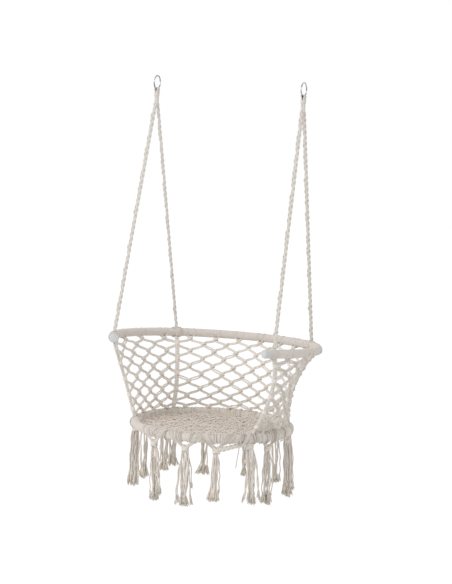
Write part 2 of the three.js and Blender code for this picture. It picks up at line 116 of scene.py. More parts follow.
def besideHoop(hoop, turn, slide, angles, radius):
    # the same, moved along the hoop by a length
    return aroundHoop(hoop, turn + np.degrees(slide / chair[hoop + "HoopRadius"]), angles, radius)


def hoopPoint(hoop, turns):
    return aroundHoop(hoop, np.asarray(turns, float), 0.0, 0.0)


def alongHoop(hoop, turn):
    return pitched(along(turn), chair["backHoopPitch"]) if hoop == "back" else along(turn)


def ringMiddle(hand):
    return np.array([sides[hand] * chair["ringSide"], chair["ringSetback"], chair["ringHeight"]])


def camel(*words):
    parts = "_".join(words).split("_")
    return parts[0] + "".join(part.title() for part in parts[1:])


def turned(post, degrees):
    return dict(post, back=post["back"] + degrees, seat=post["seat"] + degrees)


def hung(points):
    # from upright about the seat hoop's middle to the frame about the rings' middle
    return pitched(points - np.array([0, chair["ringSetback"], chair["ringHeight"]]), chair["hangTilt"])


def wallTurn(panel, across, rise):
    bow = 4 * rise * (1 - rise)
    first, second = (post["seat"] + (post["back"] - post["seat"]) * rise + bow * post["sweep"]
                     for post in panel["ends"])
    return first + (second - first) * across


def wallPoint(panel, across, rise):
    # straight from hoop to hoop, bowed inwards by a parabola over the rise and a sine over the width
    turns = wallTurn(panel, across, rise)
    first, second = (post["draw"] for post in panel["ends"])
    draw = np.asarray(first + (second - first) * across + panel["draw"] * np.sin(np.pi * across))
    low, high = hoopPoint("seat", turns), hoopPoint("back", turns)
    rise = np.asarray(rise)[..., None]
    return low + (high - low) * rise - outward(turns) * (4 * rise * (1 - rise) * draw[..., None])


def wallFrame(panel, across, rise):
    # the wall's ways across, up and outwards at a point
    step = 0.01
    right = unit(wallPoint(panel, across + step, rise) - wallPoint(panel, across - step, rise))
    up = unit(wallPoint(panel, across, rise + step) - wallPoint(panel, across, rise - step))
    return right, up, unit(np.cross(right, up))


def smoothPaths(steps, *parts):
    # Catmull-Rom curves through rows of points: each stretch is the cubic that leaves and meets its
    # ends along the line between their neighbours
    points = np.concatenate(parts, 1)
    padded = np.concatenate([2 * points[:, :1] - points[:, 1:2], points,
                             2 * points[:, -1:] - points[:, -2:-1]], 1)
    places = np.linspace(0, points.shape[1] - 1, steps)
    first = np.minimum(places.astype(int), points.shape[1] - 2)
    share = (places - first)[None, :, None]
    a, b, c, d = (padded[:, first + i] for i in range(4))
    return b + share * (c - a + share * (2 * a - 5 * b + 4 * c - d + share * (3 * b - a - 3 * c + d))) / 2


def evenly(path, count):
    # the same line with its points evenly spaced
    length = np.concatenate([[0], np.cumsum(np.linalg.norm(np.diff(path, axis=0), axis=1))])
    places = np.linspace(0, length[-1], count)
    return np.stack([np.interp(places, length, path[:, axis]) for axis in range(3)], -1)


def smoothPath(points, count):
    return evenly(smoothPaths(24 * len(points), np.asarray(points, float)[None])[0], count)


def squares(ahead, guide):
    # two ways square to a line: across the guide, and along it
    ahead = unit(ahead)
    side = unit(np.cross(ahead, np.broadcast_to(guide, ahead.shape)))
    return side, np.cross(side, ahead)


def plait(middle, wide, deep, strands, period, amplitude, depth, gap=0.0, phase=0.0):
    # A flat plait: strand k swings to and fro as amplitude sin(2 pi (s / period + k / strands)) and
    # passes over and under as depth sin(4 pi (...)). With a gap each strand is two cords side by side.
    s = np.concatenate([[0], np.cumsum(np.linalg.norm(np.diff(middle, axis=0), axis=1))])
    paths = []
    for k in range(strands):
        angle = 2 * np.pi * (s / period + k / strands) + phase
        slope = 2 * np.pi * amplitude / period * np.cos(angle)
        shift = gap / np.sqrt(1 + slope ** 2)
        for hand in ((-1, 1) if gap else (0,)):
            x, y = amplitude * np.sin(angle) + hand * shift, depth * np.sin(2 * angle)
            paths.append(middle + x[:, None] * wide + y[:, None] * deep)
    return np.array(paths)


def buried(paths, middle, deep, depth):
    # 1 where a cord of a plait passes between the others, and 0 where it lies on top
    return np.clip(1 - np.abs(((paths - middle) * deep).sum(-1)) / depth, 0, 1)


class Cords:
    # Many cords in one mesh. A cord is a circle of corners carried along its path: side is square
    # to the path and to a guide, over is square to both, and a corner lies at radius times
    # (cos v side + sin v over). Its map has the length in metres and the share of a turn.

    def __init__(self):
        self.places, self.tints, self.corners, self.maps, self.counts = [], [], [], [], []
        self.size = 0

    def grow(self, places, tint):
        # takes in a block of corners and gives their numbers
        index = self.size + np.arange(places[..., 0].size).reshape(places.shape[:-1])
        self.size += index.size
        self.places.append(places.reshape(-1, 3))
        self.tints.append(np.broadcast_to(tint, index.shape).reshape(-1))
        return index

    def take(self, faces, maps):
        self.corners.append(faces.reshape(-1))
        self.maps.append(maps.reshape(-1))
        self.counts.append(np.full(len(faces), faces.shape[1]))

    def surface(self, grids, length, step, closed, tint=0.0, flip=False):
        # Stacks of corners, each one surface round its last way, and round its rows where closed.
        # The map has the length at a row, which grows by the step to the next.
        index = self.grow(grids, tint)
        last, columns = None if closed else -1, index.shape[2]
        now, then = index[:, :last], np.roll(index, -1, 1)[:, :last]
        quads = np.stack([now, then, np.roll(then, -1, 2), np.roll(now, -1, 2)], -1)
        begun = np.broadcast_to(length[:, :last, None], now.shape)
        ended = begun + np.broadcast_to(step, length.shape)[:, :last, None]
        u = np.stack([begun, ended, ended, begun], -1)
        v = np.broadcast_to((np.arange(columns)[:, None] + np.array([0, 0, 1, 1])) / columns, u.shape)
        order = -1 if flip else 1
        self.take(quads.reshape(-1, 4)[:, ::order], np.stack([u, v], -1).reshape(-1, 4, 2)[:, ::order])
        return index

    def add(self, paths, radius, corners, guide, tint=0.0, closed=False):
        paths = np.asarray(paths, float)
        if paths.ndim == 2:
            paths = paths[None]
        radius, tint = (np.broadcast_to(value, paths.shape[:2])[..., None] for value in (radius, tint))
        after = np.roll(paths, -1, 1)
        side, over = squares(after - np.roll(paths, 1, 1) if closed else np.gradient(paths, axis=1), guide)
        turn = 2 * np.pi * np.arange(corners)[:, None] / corners
        circle = np.cos(turn) * side[:, :, None] + np.sin(turn) * over[:, :, None]
        step = np.linalg.norm(after - paths, axis=2)
        length = np.cumsum(step, axis=1) - step + 0.0137 * np.arange(len(paths))[:, None]
        index = self.surface(paths[:, :, None] + radius[..., None] * circle, length, step, closed, tint)
        for end, order in (() if closed else ((0, 1), (-1, -1))):
            ring = index[:, end, ::order]
            at = length[:, end, None] + 0 * ring
            self.take(ring, np.stack([at, 0 * at + 0.5], -1))

    def strip(self, first, second):
        # faces between two closed rows of corners
        quads = np.stack([first, second, np.roll(second, -1), np.roll(first, -1)], -1)
        self.take(quads, np.zeros(quads.shape + (2,)))

    def mesh(self, name):
        mesh = bpy.data.meshes.new(name)
        places = hung(np.concatenate(self.places))
        corners = np.concatenate(self.corners)
        counts = np.concatenate(self.counts)
        mesh.vertices.add(len(places))
        mesh.vertices.foreach_set("co", places.astype(np.float32).ravel())
        mesh.loops.add(len(corners))
        mesh.loops.foreach_set("vertex_index", corners.astype(np.int32))
        mesh.polygons.add(len(counts))
        mesh.polygons.foreach_set("loop_start", (np.cumsum(counts) - counts).astype(np.int32))
        mesh.update(calc_edges=True)
        mesh.polygons.foreach_set("use_smooth", np.ones(len(counts), bool))
        cordMap = mesh.uv_layers.new(name="cordMap")
        cordMap.data.foreach_set("uv", np.concatenate(self.maps).astype(np.float32))
        # per corner: tan over nought, and painted shade between cords under nought
        tint = mesh.attributes.new("cordTint", "FLOAT", "POINT")
        tint.data.foreach_set("value", np.concatenate(self.tints).astype(np.float32))
        mesh.validate()
        return mesh


def linked(name, data):
    thing = bpy.data.objects.new(name, data)
    bpy.context.scene.collection.objects.link(thing)
    return thing


def makePiece(name, cords, body, finish, replaced=()):
    mesh = cords.mesh(name)
    mesh.materials.append(finish)
    piece = linked(name, mesh)
    if body:
        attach(piece, body)
    if replaced:
        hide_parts(*replaced)
    return piece


class Value:
    # A number that changes over a surface: sums and products of it add Math nodes

    def __init__(self, finish, socket):
        self.finish, self.socket = finish, socket

    def __add__(self, other):
        return self.finish.math("ADD", self, other)

    def __sub__(self, other):
        return self.finish.math("SUBTRACT", self, other)

    def __rsub__(self, other):
        return self.finish.math("SUBTRACT", other, self)

    def __mul__(self, other):
        return self.finish.math("MULTIPLY", self, other)

    __radd__ = __add__
    __rmul__ = __mul__


class Nodes:
    # A node tree, and one way of adding nodes to it

    def __init__(self, owner):
        owner.use_nodes = True
        self.tree = owner.node_tree
        self.tree.nodes.clear()

    def node(self, kind, sockets=(), **settings):
        node = self.tree.nodes.new("ShaderNode" + kind)
        for key, value in settings.items():
            setattr(node, key, value)
        for key, value in dict(sockets).items():
            self.feed(node.inputs[key], value)
        return node

    def feed(self, socket, value):
        if isinstance(value, Value):
            value = value.socket
        if isinstance(value, bpy.types.NodeSocket):
            self.tree.links.new(value, socket)
        else:
            socket.default_value = (*value, 1) if socket.type == "RGBA" and len(value) == 3 else value

    def math(self, operation, *values):
        node = self.node("Math", enumerate(values), operation=operation)
        return Value(self, node.outputs[0])

    def span(self, value, low, high, first=0.0, last=1.0):
        node = self.node("MapRange", enumerate((value, low, high, first, last)), clamp=True)
        return Value(self, node.outputs[0])

    def seen(self):
        # 1 where the camera or a polished part looks
        path = self.node("LightPath")
        return self.math("MAXIMUM", path.outputs["Is Camera Ray"], path.outputs["Is Glossy Ray"])

    def fade(self, share, first, second):
        # one shader fading into another
        return self.node("MixShader", {0: share, 1: first.outputs[0], 2: second.outputs[0]}).outputs[0]


class Finish(Nodes):
    # A material and its Principled shader

    def __init__(self, name, **constants):
        self.material = bpy.data.materials.new(name)
        super().__init__(self.material)
        self.shader = self.node("BsdfPrincipled", constants)
        self.output = self.node("OutputMaterial", {"Surface": self.shader.outputs[0]})
        self.place = self.node("TexCoord").outputs["Object"]

    def set(self, name, value):
        self.feed(self.shader.inputs[name], value)

    def noise(self, scale, detail=2.0, rough=0.5):
        node = self.node("TexNoise", {
            "Vector": self.place, "Scale": scale, "Detail": detail, "Roughness": rough})
        return Value(self, node.outputs[0])

    def mix(self, share, first, second):
        return self.node("Mix", {0: share, 6: first, 7: second}, data_type="RGBA").outputs[2]

    def bump(self, height, strength, distance):
        node = self.node("Bump", {"Height": height, "Strength": strength, "Distance": distance})
        self.set("Normal", node.outputs[0])


cottonLook = {
    "tan": (0.99, 0.90, 0.765),
    # the colour of painted shade, in the creases between plies and between cords that lie close
    "creaseShade": (0.47, 0.41, 0.345),
    "plies": 3,
}


def cottonFinish(name, pale, warm, lay, twist, patchy):
    # Twisted cotton: the plies run round the cord as they run along it, with painted shade in the creases
    # between them, as strong as twist, fine fibres over them, and soft patches of a warmer tone. A tint over
    # nought is tan, and one under it is painted shade between cords that lie close.
    finish = Finish(name, Roughness=0.92, **{"Sheen Weight": 0.12, "Sheen Roughness": 0.5})
    cordMap = finish.node("UVMap", uv_map="cordMap")
    tint = Value(finish, finish.node("Attribute", attribute_name="cordTint").outputs["Fac"])
    parts = finish.node("SeparateXYZ", {0: cordMap.outputs[0]})
    length, turn = Value(finish, parts.outputs[0]), Value(finish, parts.outputs[1])
    ply = finish.math("SINE", (turn * cottonLook["plies"] + length * (1 / lay)) * (2 * math.pi))
    creaseShade = finish.span(ply, -1.0, -0.2, 1.0, 0.0)
    fibres = finish.noise(900.0, 3.0, 0.6)
    patches, broad = finish.noise(22.0), finish.noise(4.0, 1.0)
    colour = finish.mix(finish.span(patches * 0.6 + broad * 0.4, 0.35, 0.7, 0.0, patchy), pale, warm)
    colour = finish.mix(finish.span(tint, 0.0, 1.0, 0.0, 0.9), colour, cottonLook["tan"])
    # a tint under nought paints shade between cords that lie close
    colour = finish.mix(finish.span(tint, -1.0, 0.0, 0.8, 0.0), colour, cottonLook["creaseShade"])
    # painted shade in the creases between plies, as strong as twist
    colour = finish.mix(creaseShade * twist, colour, cottonLook["creaseShade"])
    finish.set("Base Color", finish.mix(finish.span(fibres, 0.3, 0.75, 0.0, 0.22), colour, warm))
    finish.set("Roughness", finish.span(fibres, 0.2, 0.8, 0.84, 0.97))
    finish.bump(ply * 0.5 + fibres * 0.35, 0.55, 0.0006)
    return finish.material


# These are copies of one cotton: the paleness and warmth that set them apart are painted light and shade, and
# the winding's darker, warmer copy is painted shade
ropeCotton = cottonFinish("twisted_rope_cotton", (0.84, 0.81, 0.765), (0.76, 0.72, 0.665), 0.017, 0.36, 0.4)
netCotton = cottonFinish("knotted_net_cotton", (0.925, 0.885, 0.835), (0.85, 0.79, 0.725), 0.014, 0.28, 0.5)
seatCotton = cottonFinish("matted_seat_cotton", (0.89, 0.815, 0.75), (0.80, 0.70, 0.625), 0.013, 0.42, 0.7)
tasselCotton = cottonFinish("tassel_cotton", (0.88, 0.825, 0.765), (0.81, 0.74, 0.665), 0.015, 0.28, 0.45)
windingCotton = cottonFinish("wound_cord_cotton", (0.76, 0.71, 0.66), (0.71, 0.645, 0.585), 0.011, 0.18, 0.45)


def metalFinish(name, colour, rough, wearAndReflection, scratch, patches):
    # Bare steel with faint drawn lines and darker patches: wear on the hidden tube, and a painted dark
    # reflection on the polished ring
    finish = Finish(name, Metallic=1.0)
    lines = finish.noise(scratch, 4.0, 0.65)
    tone = finish.span(finish.noise(patches), 0.38, 0.62)
    finish.set("Base Color", finish.mix(tone, colour, wearAndReflection))
    finish.set("Roughness", finish.span(lines, 0.25, 0.75, rough, rough + 0.16))
    finish.bump(lines, 0.15, 0.0001)
    return finish.material


# the ring's near-black patches are a painted dark reflection
ringSteel = metalFinish("polished_ring_steel", (0.62, 0.63, 0.64), 0.20, (0.10, 0.10, 0.11), 620.0, 75.0)
tubeSteel = metalFinish("hidden_tube_steel", (0.52, 0.53, 0.54), 0.42, (0.42, 0.42, 0.43), 240.0, 35.0)


def plasticFinish(name, colour, rim):
    # Moulded plastic with a faint grain and a slightly greyer, scuffed tone in patches
    finish = Finish(name, **{"IOR": 1.46})
    scuffs = finish.noise(60.0, 3.0, 0.6)
    finish.set("Base Color", finish.mix(finish.span(scuffs, 0.45, 0.8), colour, rim))
    finish.set("Roughness", finish.span(scuffs, 0.3, 0.8, 0.36, 0.52))
    finish.bump(finish.noise(1400.0), 0.12, 0.0001)
    return finish.material


capPlastic = plasticFinish("grey_cap_plastic", (0.69, 0.685, 0.685), (0.57, 0.565, 0.56))

camera = {
    "azimuth": 24.012,
    "elevation": 6.497,
    "distance": 7.8405,
    "focal": 2101.7,              # in pixels of the photo
    "pixels": 584,                # the photo's height
    "roll": 2.489,
    "aside": 0.03073,             # of the point looked at
    "height": 0.50455,
}


def placeCamera():
    azimuth, elevation, roll = (math.radians(camera[key]) for key in ("azimuth", "elevation", "roll"))
    back = np.array([math.sin(azimuth) * math.cos(elevation), -math.cos(azimuth) * math.cos(elevation),
                     math.sin(elevation)])
    right = np.array([math.cos(azimuth), math.sin(azimuth), 0.0])
    up = np.cross(back, right)
    columns = (right * math.cos(roll) + up * math.sin(roll), up * math.cos(roll) - right * math.sin(roll),
               back)
    matrix = np.eye(4)
    matrix[:3, :3] = np.stack([pitched(way, chair["hangTilt"]) for way in columns], 1)
    matrix[:3, 3] = hung(right * camera["aside"] - down(camera["height"]) + back * camera["distance"])
    data = bpy.data.cameras.new("photoCamera")
    data.sensor_fit = "AUTO"
    data.sensor_width = 36.0
    data.lens = camera["focal"] / camera["pixels"] * data.sensor_width
    data.clip_end = 60.0
    lens = linked("photoCamera", data)
    lens.matrix_world = Matrix(matrix.tolist())
    bpy.context.scene.camera = lens


placeCamera()
print("camera placed")

ringLook = {
    "wire": 0.0025,
    "weld": 0.0004,               # how far the weld at the top stands off
    "weldSpan": 0.045,            # radians that it fades over
}


def makeRing(hand):
    # a circle of wire with the slight swelling of its weld at the top
    rows, columns = 144, 20
    turn = np.linspace(0, 2 * np.pi, rows, endpoint=False)
    fade = np.exp(-((turn - np.pi / 2) / ringLook["weldSpan"]) ** 2)
    section = ringLook["wire"] + ringLook["weld"] * fade * (0.6 + 0.4 * np.sin(60 * turn) ** 2)
    circle = np.stack([0 * turn, np.cos(turn), np.sin(turn)], -1)[:, None]
    angle = np.arange(columns)[:, None] * 2 * np.pi / columns
    grid = circle * chair["ringRadius"] + section[:, None, None] * (
        np.cos(angle) * circle + np.sin(angle) * np.array([1.0, 0, 0]))
    cords = Cords()
    length = turn[None] * chair["ringRadius"]
    cords.surface(grid[None] + ringMiddle(hand), length, length[0, 1], True, flip=True)
    makePiece(hand + "HangingRing", cords, "rings", ringSteel, (hand + "_ring",))


makeRing("left")
makeRing("right")

ropeLook = {
    "cordRadius": 0.0023,
    "period": 0.066,              # along which one strand swings to and fro
    "amplitude": 0.0034,
    "depth": 0.0019,
    "gap": 0.0018,                # half the spacing of the two cords in a strand
    "waves": (0.0073, 0.0114, 0.0190),
    "uneven": 0.16,               # share by which the swing grows and shrinks on those waves
    "wander": 0.0004,             # and how far the middle moves to the side
    "facing": (0.2, -1.0, 0.0),
    "stepsPerPeriod": 18,
    "topDrop": 0.080,             # from the ring's middle to the ropes' hidden tops
    "ringShift": 0.010,
    "footGap": 0.0215,            # from the back hoop's middle to a rope's end
    "bend": 0.060,                # a length along the rope above the hoop
}


def makeRope(name):
    # straight from the split under the ring to the post's place on the back hoop
    post = posts[name]
    hand, place = name.split("_")
    shift = (-1 if place == "front" else 1) * ropeLook["ringShift"]
    top = ringMiddle(hand) + np.array([0, shift, -ropeLook["topDrop"]])
    foot = hoopPoint("back", post["back"])
    foot = foot - unit(foot - top) * ropeLook["footGap"]
    length = float(np.linalg.norm(foot - top))
    rng = np.random.default_rng(60 + len(name))
    share = np.linspace(0, 1, int(length / ropeLook["period"] * ropeLook["stepsPerPeriod"]))
    middle = top + (foot - top) * share[:, None]
    wide, deep = squares(np.gradient(middle, axis=0), ropeLook["facing"])
    waves = sum(np.sin(share * length / wave + rng.uniform(0, 6.28)) for wave in ropeLook["waves"])
    swing = post["rope"] * ropeLook["amplitude"] * (1 + ropeLook["uneven"] * waves)
    paths = plait(middle + wide * ropeLook["wander"] * waves[:, None], wide, deep, 3, ropeLook["period"],
                  swing, ropeLook["depth"], ropeLook["gap"], phase=0.9 * len(name))
    shade = -post["ropeShade"] * buried(paths, middle, deep, ropeLook["depth"]) ** 1.4
    cords = Cords()
    cords.add(paths, post["rope"] * ropeLook["cordRadius"], 7, deep,
              tint=shade * rng.uniform(0.5, 1.0, (len(paths), 1)))
    rope = makePiece(camel(name, "rope"), cords, None, ropeCotton, (name + "_rope",))
    line = hung(np.concatenate([middle[::6], middle[-1:]]))
    hand + "_ropes"
    line[-1] + ropeLook["bend"] * unit(line[0] - line[-1])
    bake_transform(rope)


for postName in posts:
    makeRope(postName)

eyeLook = {
    "loops": 4,
    "apart": 0.0049,              # between two of them, on top of the wire
    "loopRadius": 0.0058,
    "cordRadius": 0.0026,
    "bands": (0.0135, 0.0182, 0.0229),     # under the wire
    "bandRadii": (0.0078, 0.0104),
    "braidPeriod": 0.040,
    # how wide and how deep each braid swings, its phase and its cord
    "braids": ((0.0054, 0.0044, 0.6, 0.0034), (0.0046, 0.0046, 0.8, 0.0032)),
    "pivotDrop": 0.0602,          # from the ring's middle to a point down the eye
}


def makeEye(hand):
    # Four cords hang over the ring's wire, bands go round them under it, and two braids at right
    # angles run down inside each other to where the two ropes part
    ring = ringMiddle(hand)
    wire = ring + down(chair["ringRadius"])
    cords = Cords()
    angle = np.radians(np.linspace(-75, 255, 22))[3:-3]
    for k in range(eyeLook["loops"]):
        slide = (k - (eyeLook["loops"] - 1) / 2) * eyeLook["apart"]
        loop = np.stack([np.cos(angle), 0 * angle, np.sin(angle)], -1) * eyeLook["loopRadius"]
        loop[:, 1] = slide * 1.12
        arms = []
        for cross in (0.0042, -0.0042) if k % 2 else (0.0034, -0.0034):
            arms.append(np.array([[cross, slide, -0.0105], [cross * 0.9, slide * 0.85, -0.0165],
                                  [cross * 0.8, slide * 0.7, -0.024], [cross, slide * 0.5, -0.034]]))
        line = wire + np.concatenate([arms[0][::-1], loop, arms[1]])
        cords.add(smoothPath(line, 56), eyeLook["cordRadius"], 8, [0.0, 1.0, 0.0])
    angle = np.linspace(0, 2 * np.pi, 28, endpoint=False)
    for k, drop in enumerate(eyeLook["bands"]):
        x, y = (radius * way for radius, way in zip(eyeLook["bandRadii"], (np.cos(angle), np.sin(angle))))
        cords.add(wire + np.stack([x, y, 0.0016 * np.sin(angle + k) - drop], -1),
                  eyeLook["cordRadius"], 8, [0.0, 0.0, 1.0], closed=True)
    top, foot = wire + down(0.020), ring + down(ropeLook["topDrop"] + 0.010)
    middle = top + (foot - top) * np.linspace(0, 1, 60)[:, None]
    wide, deep = squares(np.gradient(middle, axis=0), [1.0, 0.0, 0.0])
    for amplitude, depth, phase, radius in eyeLook["braids"]:
        paths = plait(middle, wide, deep, 4, eyeLook["braidPeriod"], amplitude, depth, phase=phase)
        cords.add(paths, radius, 8, deep)
        wide, deep = deep, wide
    eye = makePiece(hand + "Eye", cords, None, ropeCotton, (hand + "_eye", hand + "_binding"))
    pivot = hung(ring + down(eyeLook["pivotDrop"]))
    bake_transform(eye)


makeEye("left")
makeEye("right")
print("ropes made")

windingLook = {
    "pitch": 0.0036,              # of one turn of cord
    "depth": 0.0010,              # of the groove between two turns
    "samples": 6,                 # rows of corners in one turn of cord
    "columns": 20,
    "innerRows": 120,
    "uneven": 0.00018,
}


def makeWinding(name, hoop, start, end, node, seed):
    # Cord wound close round a tube. The outer radius dips between turns as a circle's edge does, and
    # a turn's place moves along by one pitch as it goes once round, so it is one long screw.
    rng = np.random.default_rng(seed)
    closed = end - start == 360
    length = math.radians(end - start) * chair[hoop + "HoopRadius"]
    turns = int(round(length / windingLook["pitch"]))
    v = np.arange(windingLook["columns"]) / windingLook["columns"]
    cords = Cords()
    edges = []
    for inner, count in ((False, turns * windingLook["samples"]), (True, windingLook["innerRows"])):
        share = np.arange(count + (0 if closed else 1)) / count
        phase = share[:, None] * turns + v
        if inner:
            radius = chair["windingBore"]
        else:
            rib = 2 * (phase % 1) - 1
            uneven = rng.normal(0, windingLook["uneven"], turns + 2)[np.floor(phase).astype(int) % turns]
            groove = 1 - np.sqrt(np.maximum(0, 1 - 0.92 * rib ** 2))
            radius = chair["windingRadius"] - windingLook["depth"] * groove + uneven
        grid = aroundHoop(hoop, start + (end - start) * share[:, None] + 0 * phase, 360 * v, radius)
        index = cords.surface(grid[None], length * share[None], length / count, closed, flip=inner)
        edges += [index[0, 0], index[0, -1]]
    if not closed:
        cords.strip(edges[2], edges[0])
        cords.strip(edges[1], edges[3])
    makePiece(name, cords, "basket", windingCotton, (node,))


makeWinding("backHoopCord", "back", chair["armTurn"], 360 - chair["armTurn"], "back_hoop_winding", 3)
makeWinding("seatHoopCord", "seat", 180, 540, "seat_hoop_winding", 4)
for tube in ("back_hoop_tube", "seat_hoop_tube", "seat_hoop_sleeve"):
    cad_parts[tube].data.materials.clear()
    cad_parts[tube].data.materials.append(tubeSteel)

capLook = {
    "radius": 0.0155,
    "length": 0.0317,
    "edge": 0.006,                # rounding of the outer end
    "lip": 0.0006,
    "plug": 0.0092,               # radius of the part inside the tube
    "plugLength": 0.018,
}


def makeCap(hand):
    # A turned profile carried round the arm's own axis: a straight side, a rounded edge, a flat end
    radius, end, plug, deep = (capLook[key] for key in ("radius", "length", "plug", "plugLength"))
    profile = [(plug - 0.0006, -deep), (plug, 0.0008 - deep), (plug, 0.0002), (radius - 0.001, 0.0003),
               (radius, 0.0012), (radius, 0.0045), (radius - capLook["lip"], 0.0052),
               (radius - 0.0001, 0.0062)]
    profile += [(radius - capLook["edge"] * (1 - math.cos(a)), end - capLook["edge"] * (1 - math.sin(a)))
                for a in np.linspace(0, np.pi / 2, 10)]
    profile = np.array(profile + [(0.005, end + 0.0003), (0.0012, end + 0.0002)])[:, :, None, None]
    turn = sides[hand] * chair["armTurn"]
    axis = -sides[hand] * alongHoop("back", turn)
    side, over = squares(axis, [0, 0, 1.0])
    angle = np.arange(40)[:, None] * 2 * np.pi / 40
    grid = hoopPoint("back", turn) + profile[:, 1] * axis + profile[:, 0] * (
        np.cos(angle) * side + np.sin(angle) * over)
    cords = Cords()
    length = profile[None, :, 1, 0, 0]
    index = cords.surface(grid[None], length, length[0, 1] - length[0, 0], False)[0]
    for ring in (index[0], index[-1][::-1]):
        cords.take(ring[None], np.zeros((1, len(ring), 2)))
    makePiece(hand + "ArmCap", cords, "basket", capPlastic, (hand + "_end_cap",))


makeCap("left")
makeCap("right")
print("hoops made")

knotLook = {
    "wide": 0.0092,               # from the middle to either side
    "tall": 0.0100,
    "deep": 0.0082,
    "cordRadius": 0.0029,
    "bands": 3,
    "steps": 9,                   # of a crossing cord
    "sides": 6,
    "corners": 14,                # of a band
    "tint": 0.0,
    "full": True,                 # crossed on both faces
}


def squareKnots(cords, at, right, up, out, size, look):
    # Two cords cross in front and two behind, and bands go round the middle. The crossing cords
    # run corner to corner and stand off by a cosine of the way along.
    right, up, out = (np.broadcast_to(way, at.shape)[:, None] for way in (right, up, out))
    size = np.broadcast_to(size, (len(at), 1, 1))

    def tie(x, y, z, guide, closed):
        path = at[:, None] + size * (right * x[:, None] + up * y[:, None] + out * z[:, None])
        cords.add(path, look["cordRadius"], look["sides"], guide, look["tint"], closed)

    steps = np.linspace(-1, 1, look["steps"])
    for hand in (1, -1):
        for face in ((1, -1) if look["full"] else (hand,)):
            z = face * (look["deep"] * np.cos(steps * np.pi / 2) + 0.0004 * hand)
            tie(hand * steps * look["wide"], face * steps * look["tall"], z, out, False)
    angle = np.linspace(0, 2 * np.pi, look["corners"], endpoint=False)
    for k in range(look["bands"]):
        y = (k - (look["bands"] - 1) / 2) * look["cordRadius"] * 1.9 + 0.0008 * np.sin(angle + 2 * k)
        tie(look["wide"] * 0.95 * np.cos(angle), y, (look["deep"] + 0.0008) * np.sin(angle), up, True)


# full is how thick the cords are, as a share of netLook's, and tint is how tan or, under nought,
# how shaded they are
panels = {
    "right": {"full": 1.18, "tint": 0.0, "ends": (posts["right_rear"], posts["right_front"]),
              "draw": 0.02, "columns": [0, 0.245, 0.49, 0.73, 1]},
    "back": {"full": 1.12, "tint": 0.0, "ends": (posts["right_rear"], turned(posts["left_rear"], -360)),
             "draw": 0.012, "columns": [0, 0.175, 0.32, 0.47, 0.61, 0.75, 0.875, 1]},
    "left": {"full": 1.30, "tint": -0.30, "ends": (posts["left_rear"], posts["left_front"]),
             "draw": 0.02, "columns": [0, 0.245, 0.49, 0.73, 1]},
}
netLook = {
    "rows": [1, 0.865, 0.775, 0.685, 0.59, 0.495, 0.4, 0.31, 0.22, 0.14, 0],
    "cordRadius": 0.0026,
    "close": 0.80,                # how far the two cords of a strand sit from its middle, in radii
    "part": 0.0022,               # how far they part halfway, on one strand in three
    "twist": 1.1,                 # radians that they turn round each other on the way
    "ease": 0.145,                # how steeply strands leave their knots, which rounds the openings
    "sag": 0.0012,
    "steps": 9,
    "rimGap": 0.0235,             # from a hoop's middle to the knots beside it
    "loopRadius": 0.0163,         # from a hoop's middle to the cords pressed into its winding
    "loopCord": 0.0012,
    "loopShade": 0.30,            # of those cords, which takes them to the winding's tone
    "loopApart": 0.0135,          # from a knot to where its loops pass over the hoop
    "loopAngles": {"back": (-42, 0, 42, 84, 126, 168, 210), "seat": (62, 25, -12, -50, -85, -120)},
    "fans": ((-1, 6, 0.036), (-2, 10, 0.070), (-3, 7, 0.060)),    # a row, its cords and their spread
    "fanRadius": (0.0200, 0.0194, 0.0188, 0.0180, 0.0172),
    "fanCord": 0.0022,
    "fanShade": 0.13,
}
netKnot = dict(knotLook, wide=0.0088, tall=0.0096, deep=0.0048, cordRadius=0.0034, bands=1, steps=6,
               sides=4, corners=8, tint=0.18, full=False)


def between(knots):
    # those that don't lie on a post
    return knots[(knots[:, 0] > 0.001) & (knots[:, 0] < 0.999)]


def netKnots(panel):
    # rows of (across, rise): odd rows on the columns, even rows halfway between them
    lines = np.array(panel["columns"], float)
    rows = []
    for row, rise in enumerate(netLook["rows"]):
        across = lines if row % 2 else (lines[1:] + lines[:-1]) / 2
        wall = wallPoint(panel, across, 0 * across + 1) - wallPoint(panel, across, 0 * across)
        gap = netLook["rimGap"] / np.linalg.norm(wall, axis=-1)
        rows.append(np.stack([across, np.clip(rise, gap, 1 - gap) if rise in (0, 1) else 0 * gap + rise], -1))
    return rows


def pairPaths(middle, side, apart):
    # two cords on either side of a middle line, by a distance that changes along it
    return np.concatenate([middle + side * apart[..., None], middle - side * apart[..., None]])


def addHoopLoops(cords, panel, knots, hoop, rng):
    # From each knot beside a hoop two pairs of cords part and pass over the hoop, thinner where they
    # are pressed into its winding. On the back hoop they come down again behind the knot.
    at = wallPoint(panel, *knots.T)[:, None]
    over = hoop == "back"
    turns = wallTurn(panel, knots[:, 0], 1.0 * over)
    share = np.linspace(0, 1, 20)
    near = np.clip(1 - share * 6, 0, 1) + over * np.clip(share * 6 - 5, 0, 1)
    width = netLook["loopCord"] + (netLook["cordRadius"] - netLook["loopCord"]) * near
    for hand in (-1, 1):
        for cord in (-1, 1):
            slide = hand * (netLook["loopApart"] + rng.normal(0, 0.0015, (len(at), 1))) + cord * 0.0019
            loop = besideHoop(hoop, turns[:, None], slide * (1 if over else 0.45),
                              np.array([netLook["loopAngles"][hoop]]), netLook["loopRadius"])
            path = smoothPaths(len(share), at, loop, *([at] if over else []))
            cords.add(path, width, 5, along(turns)[:, None], tint=netLook["loopShade"] * (near - 1))


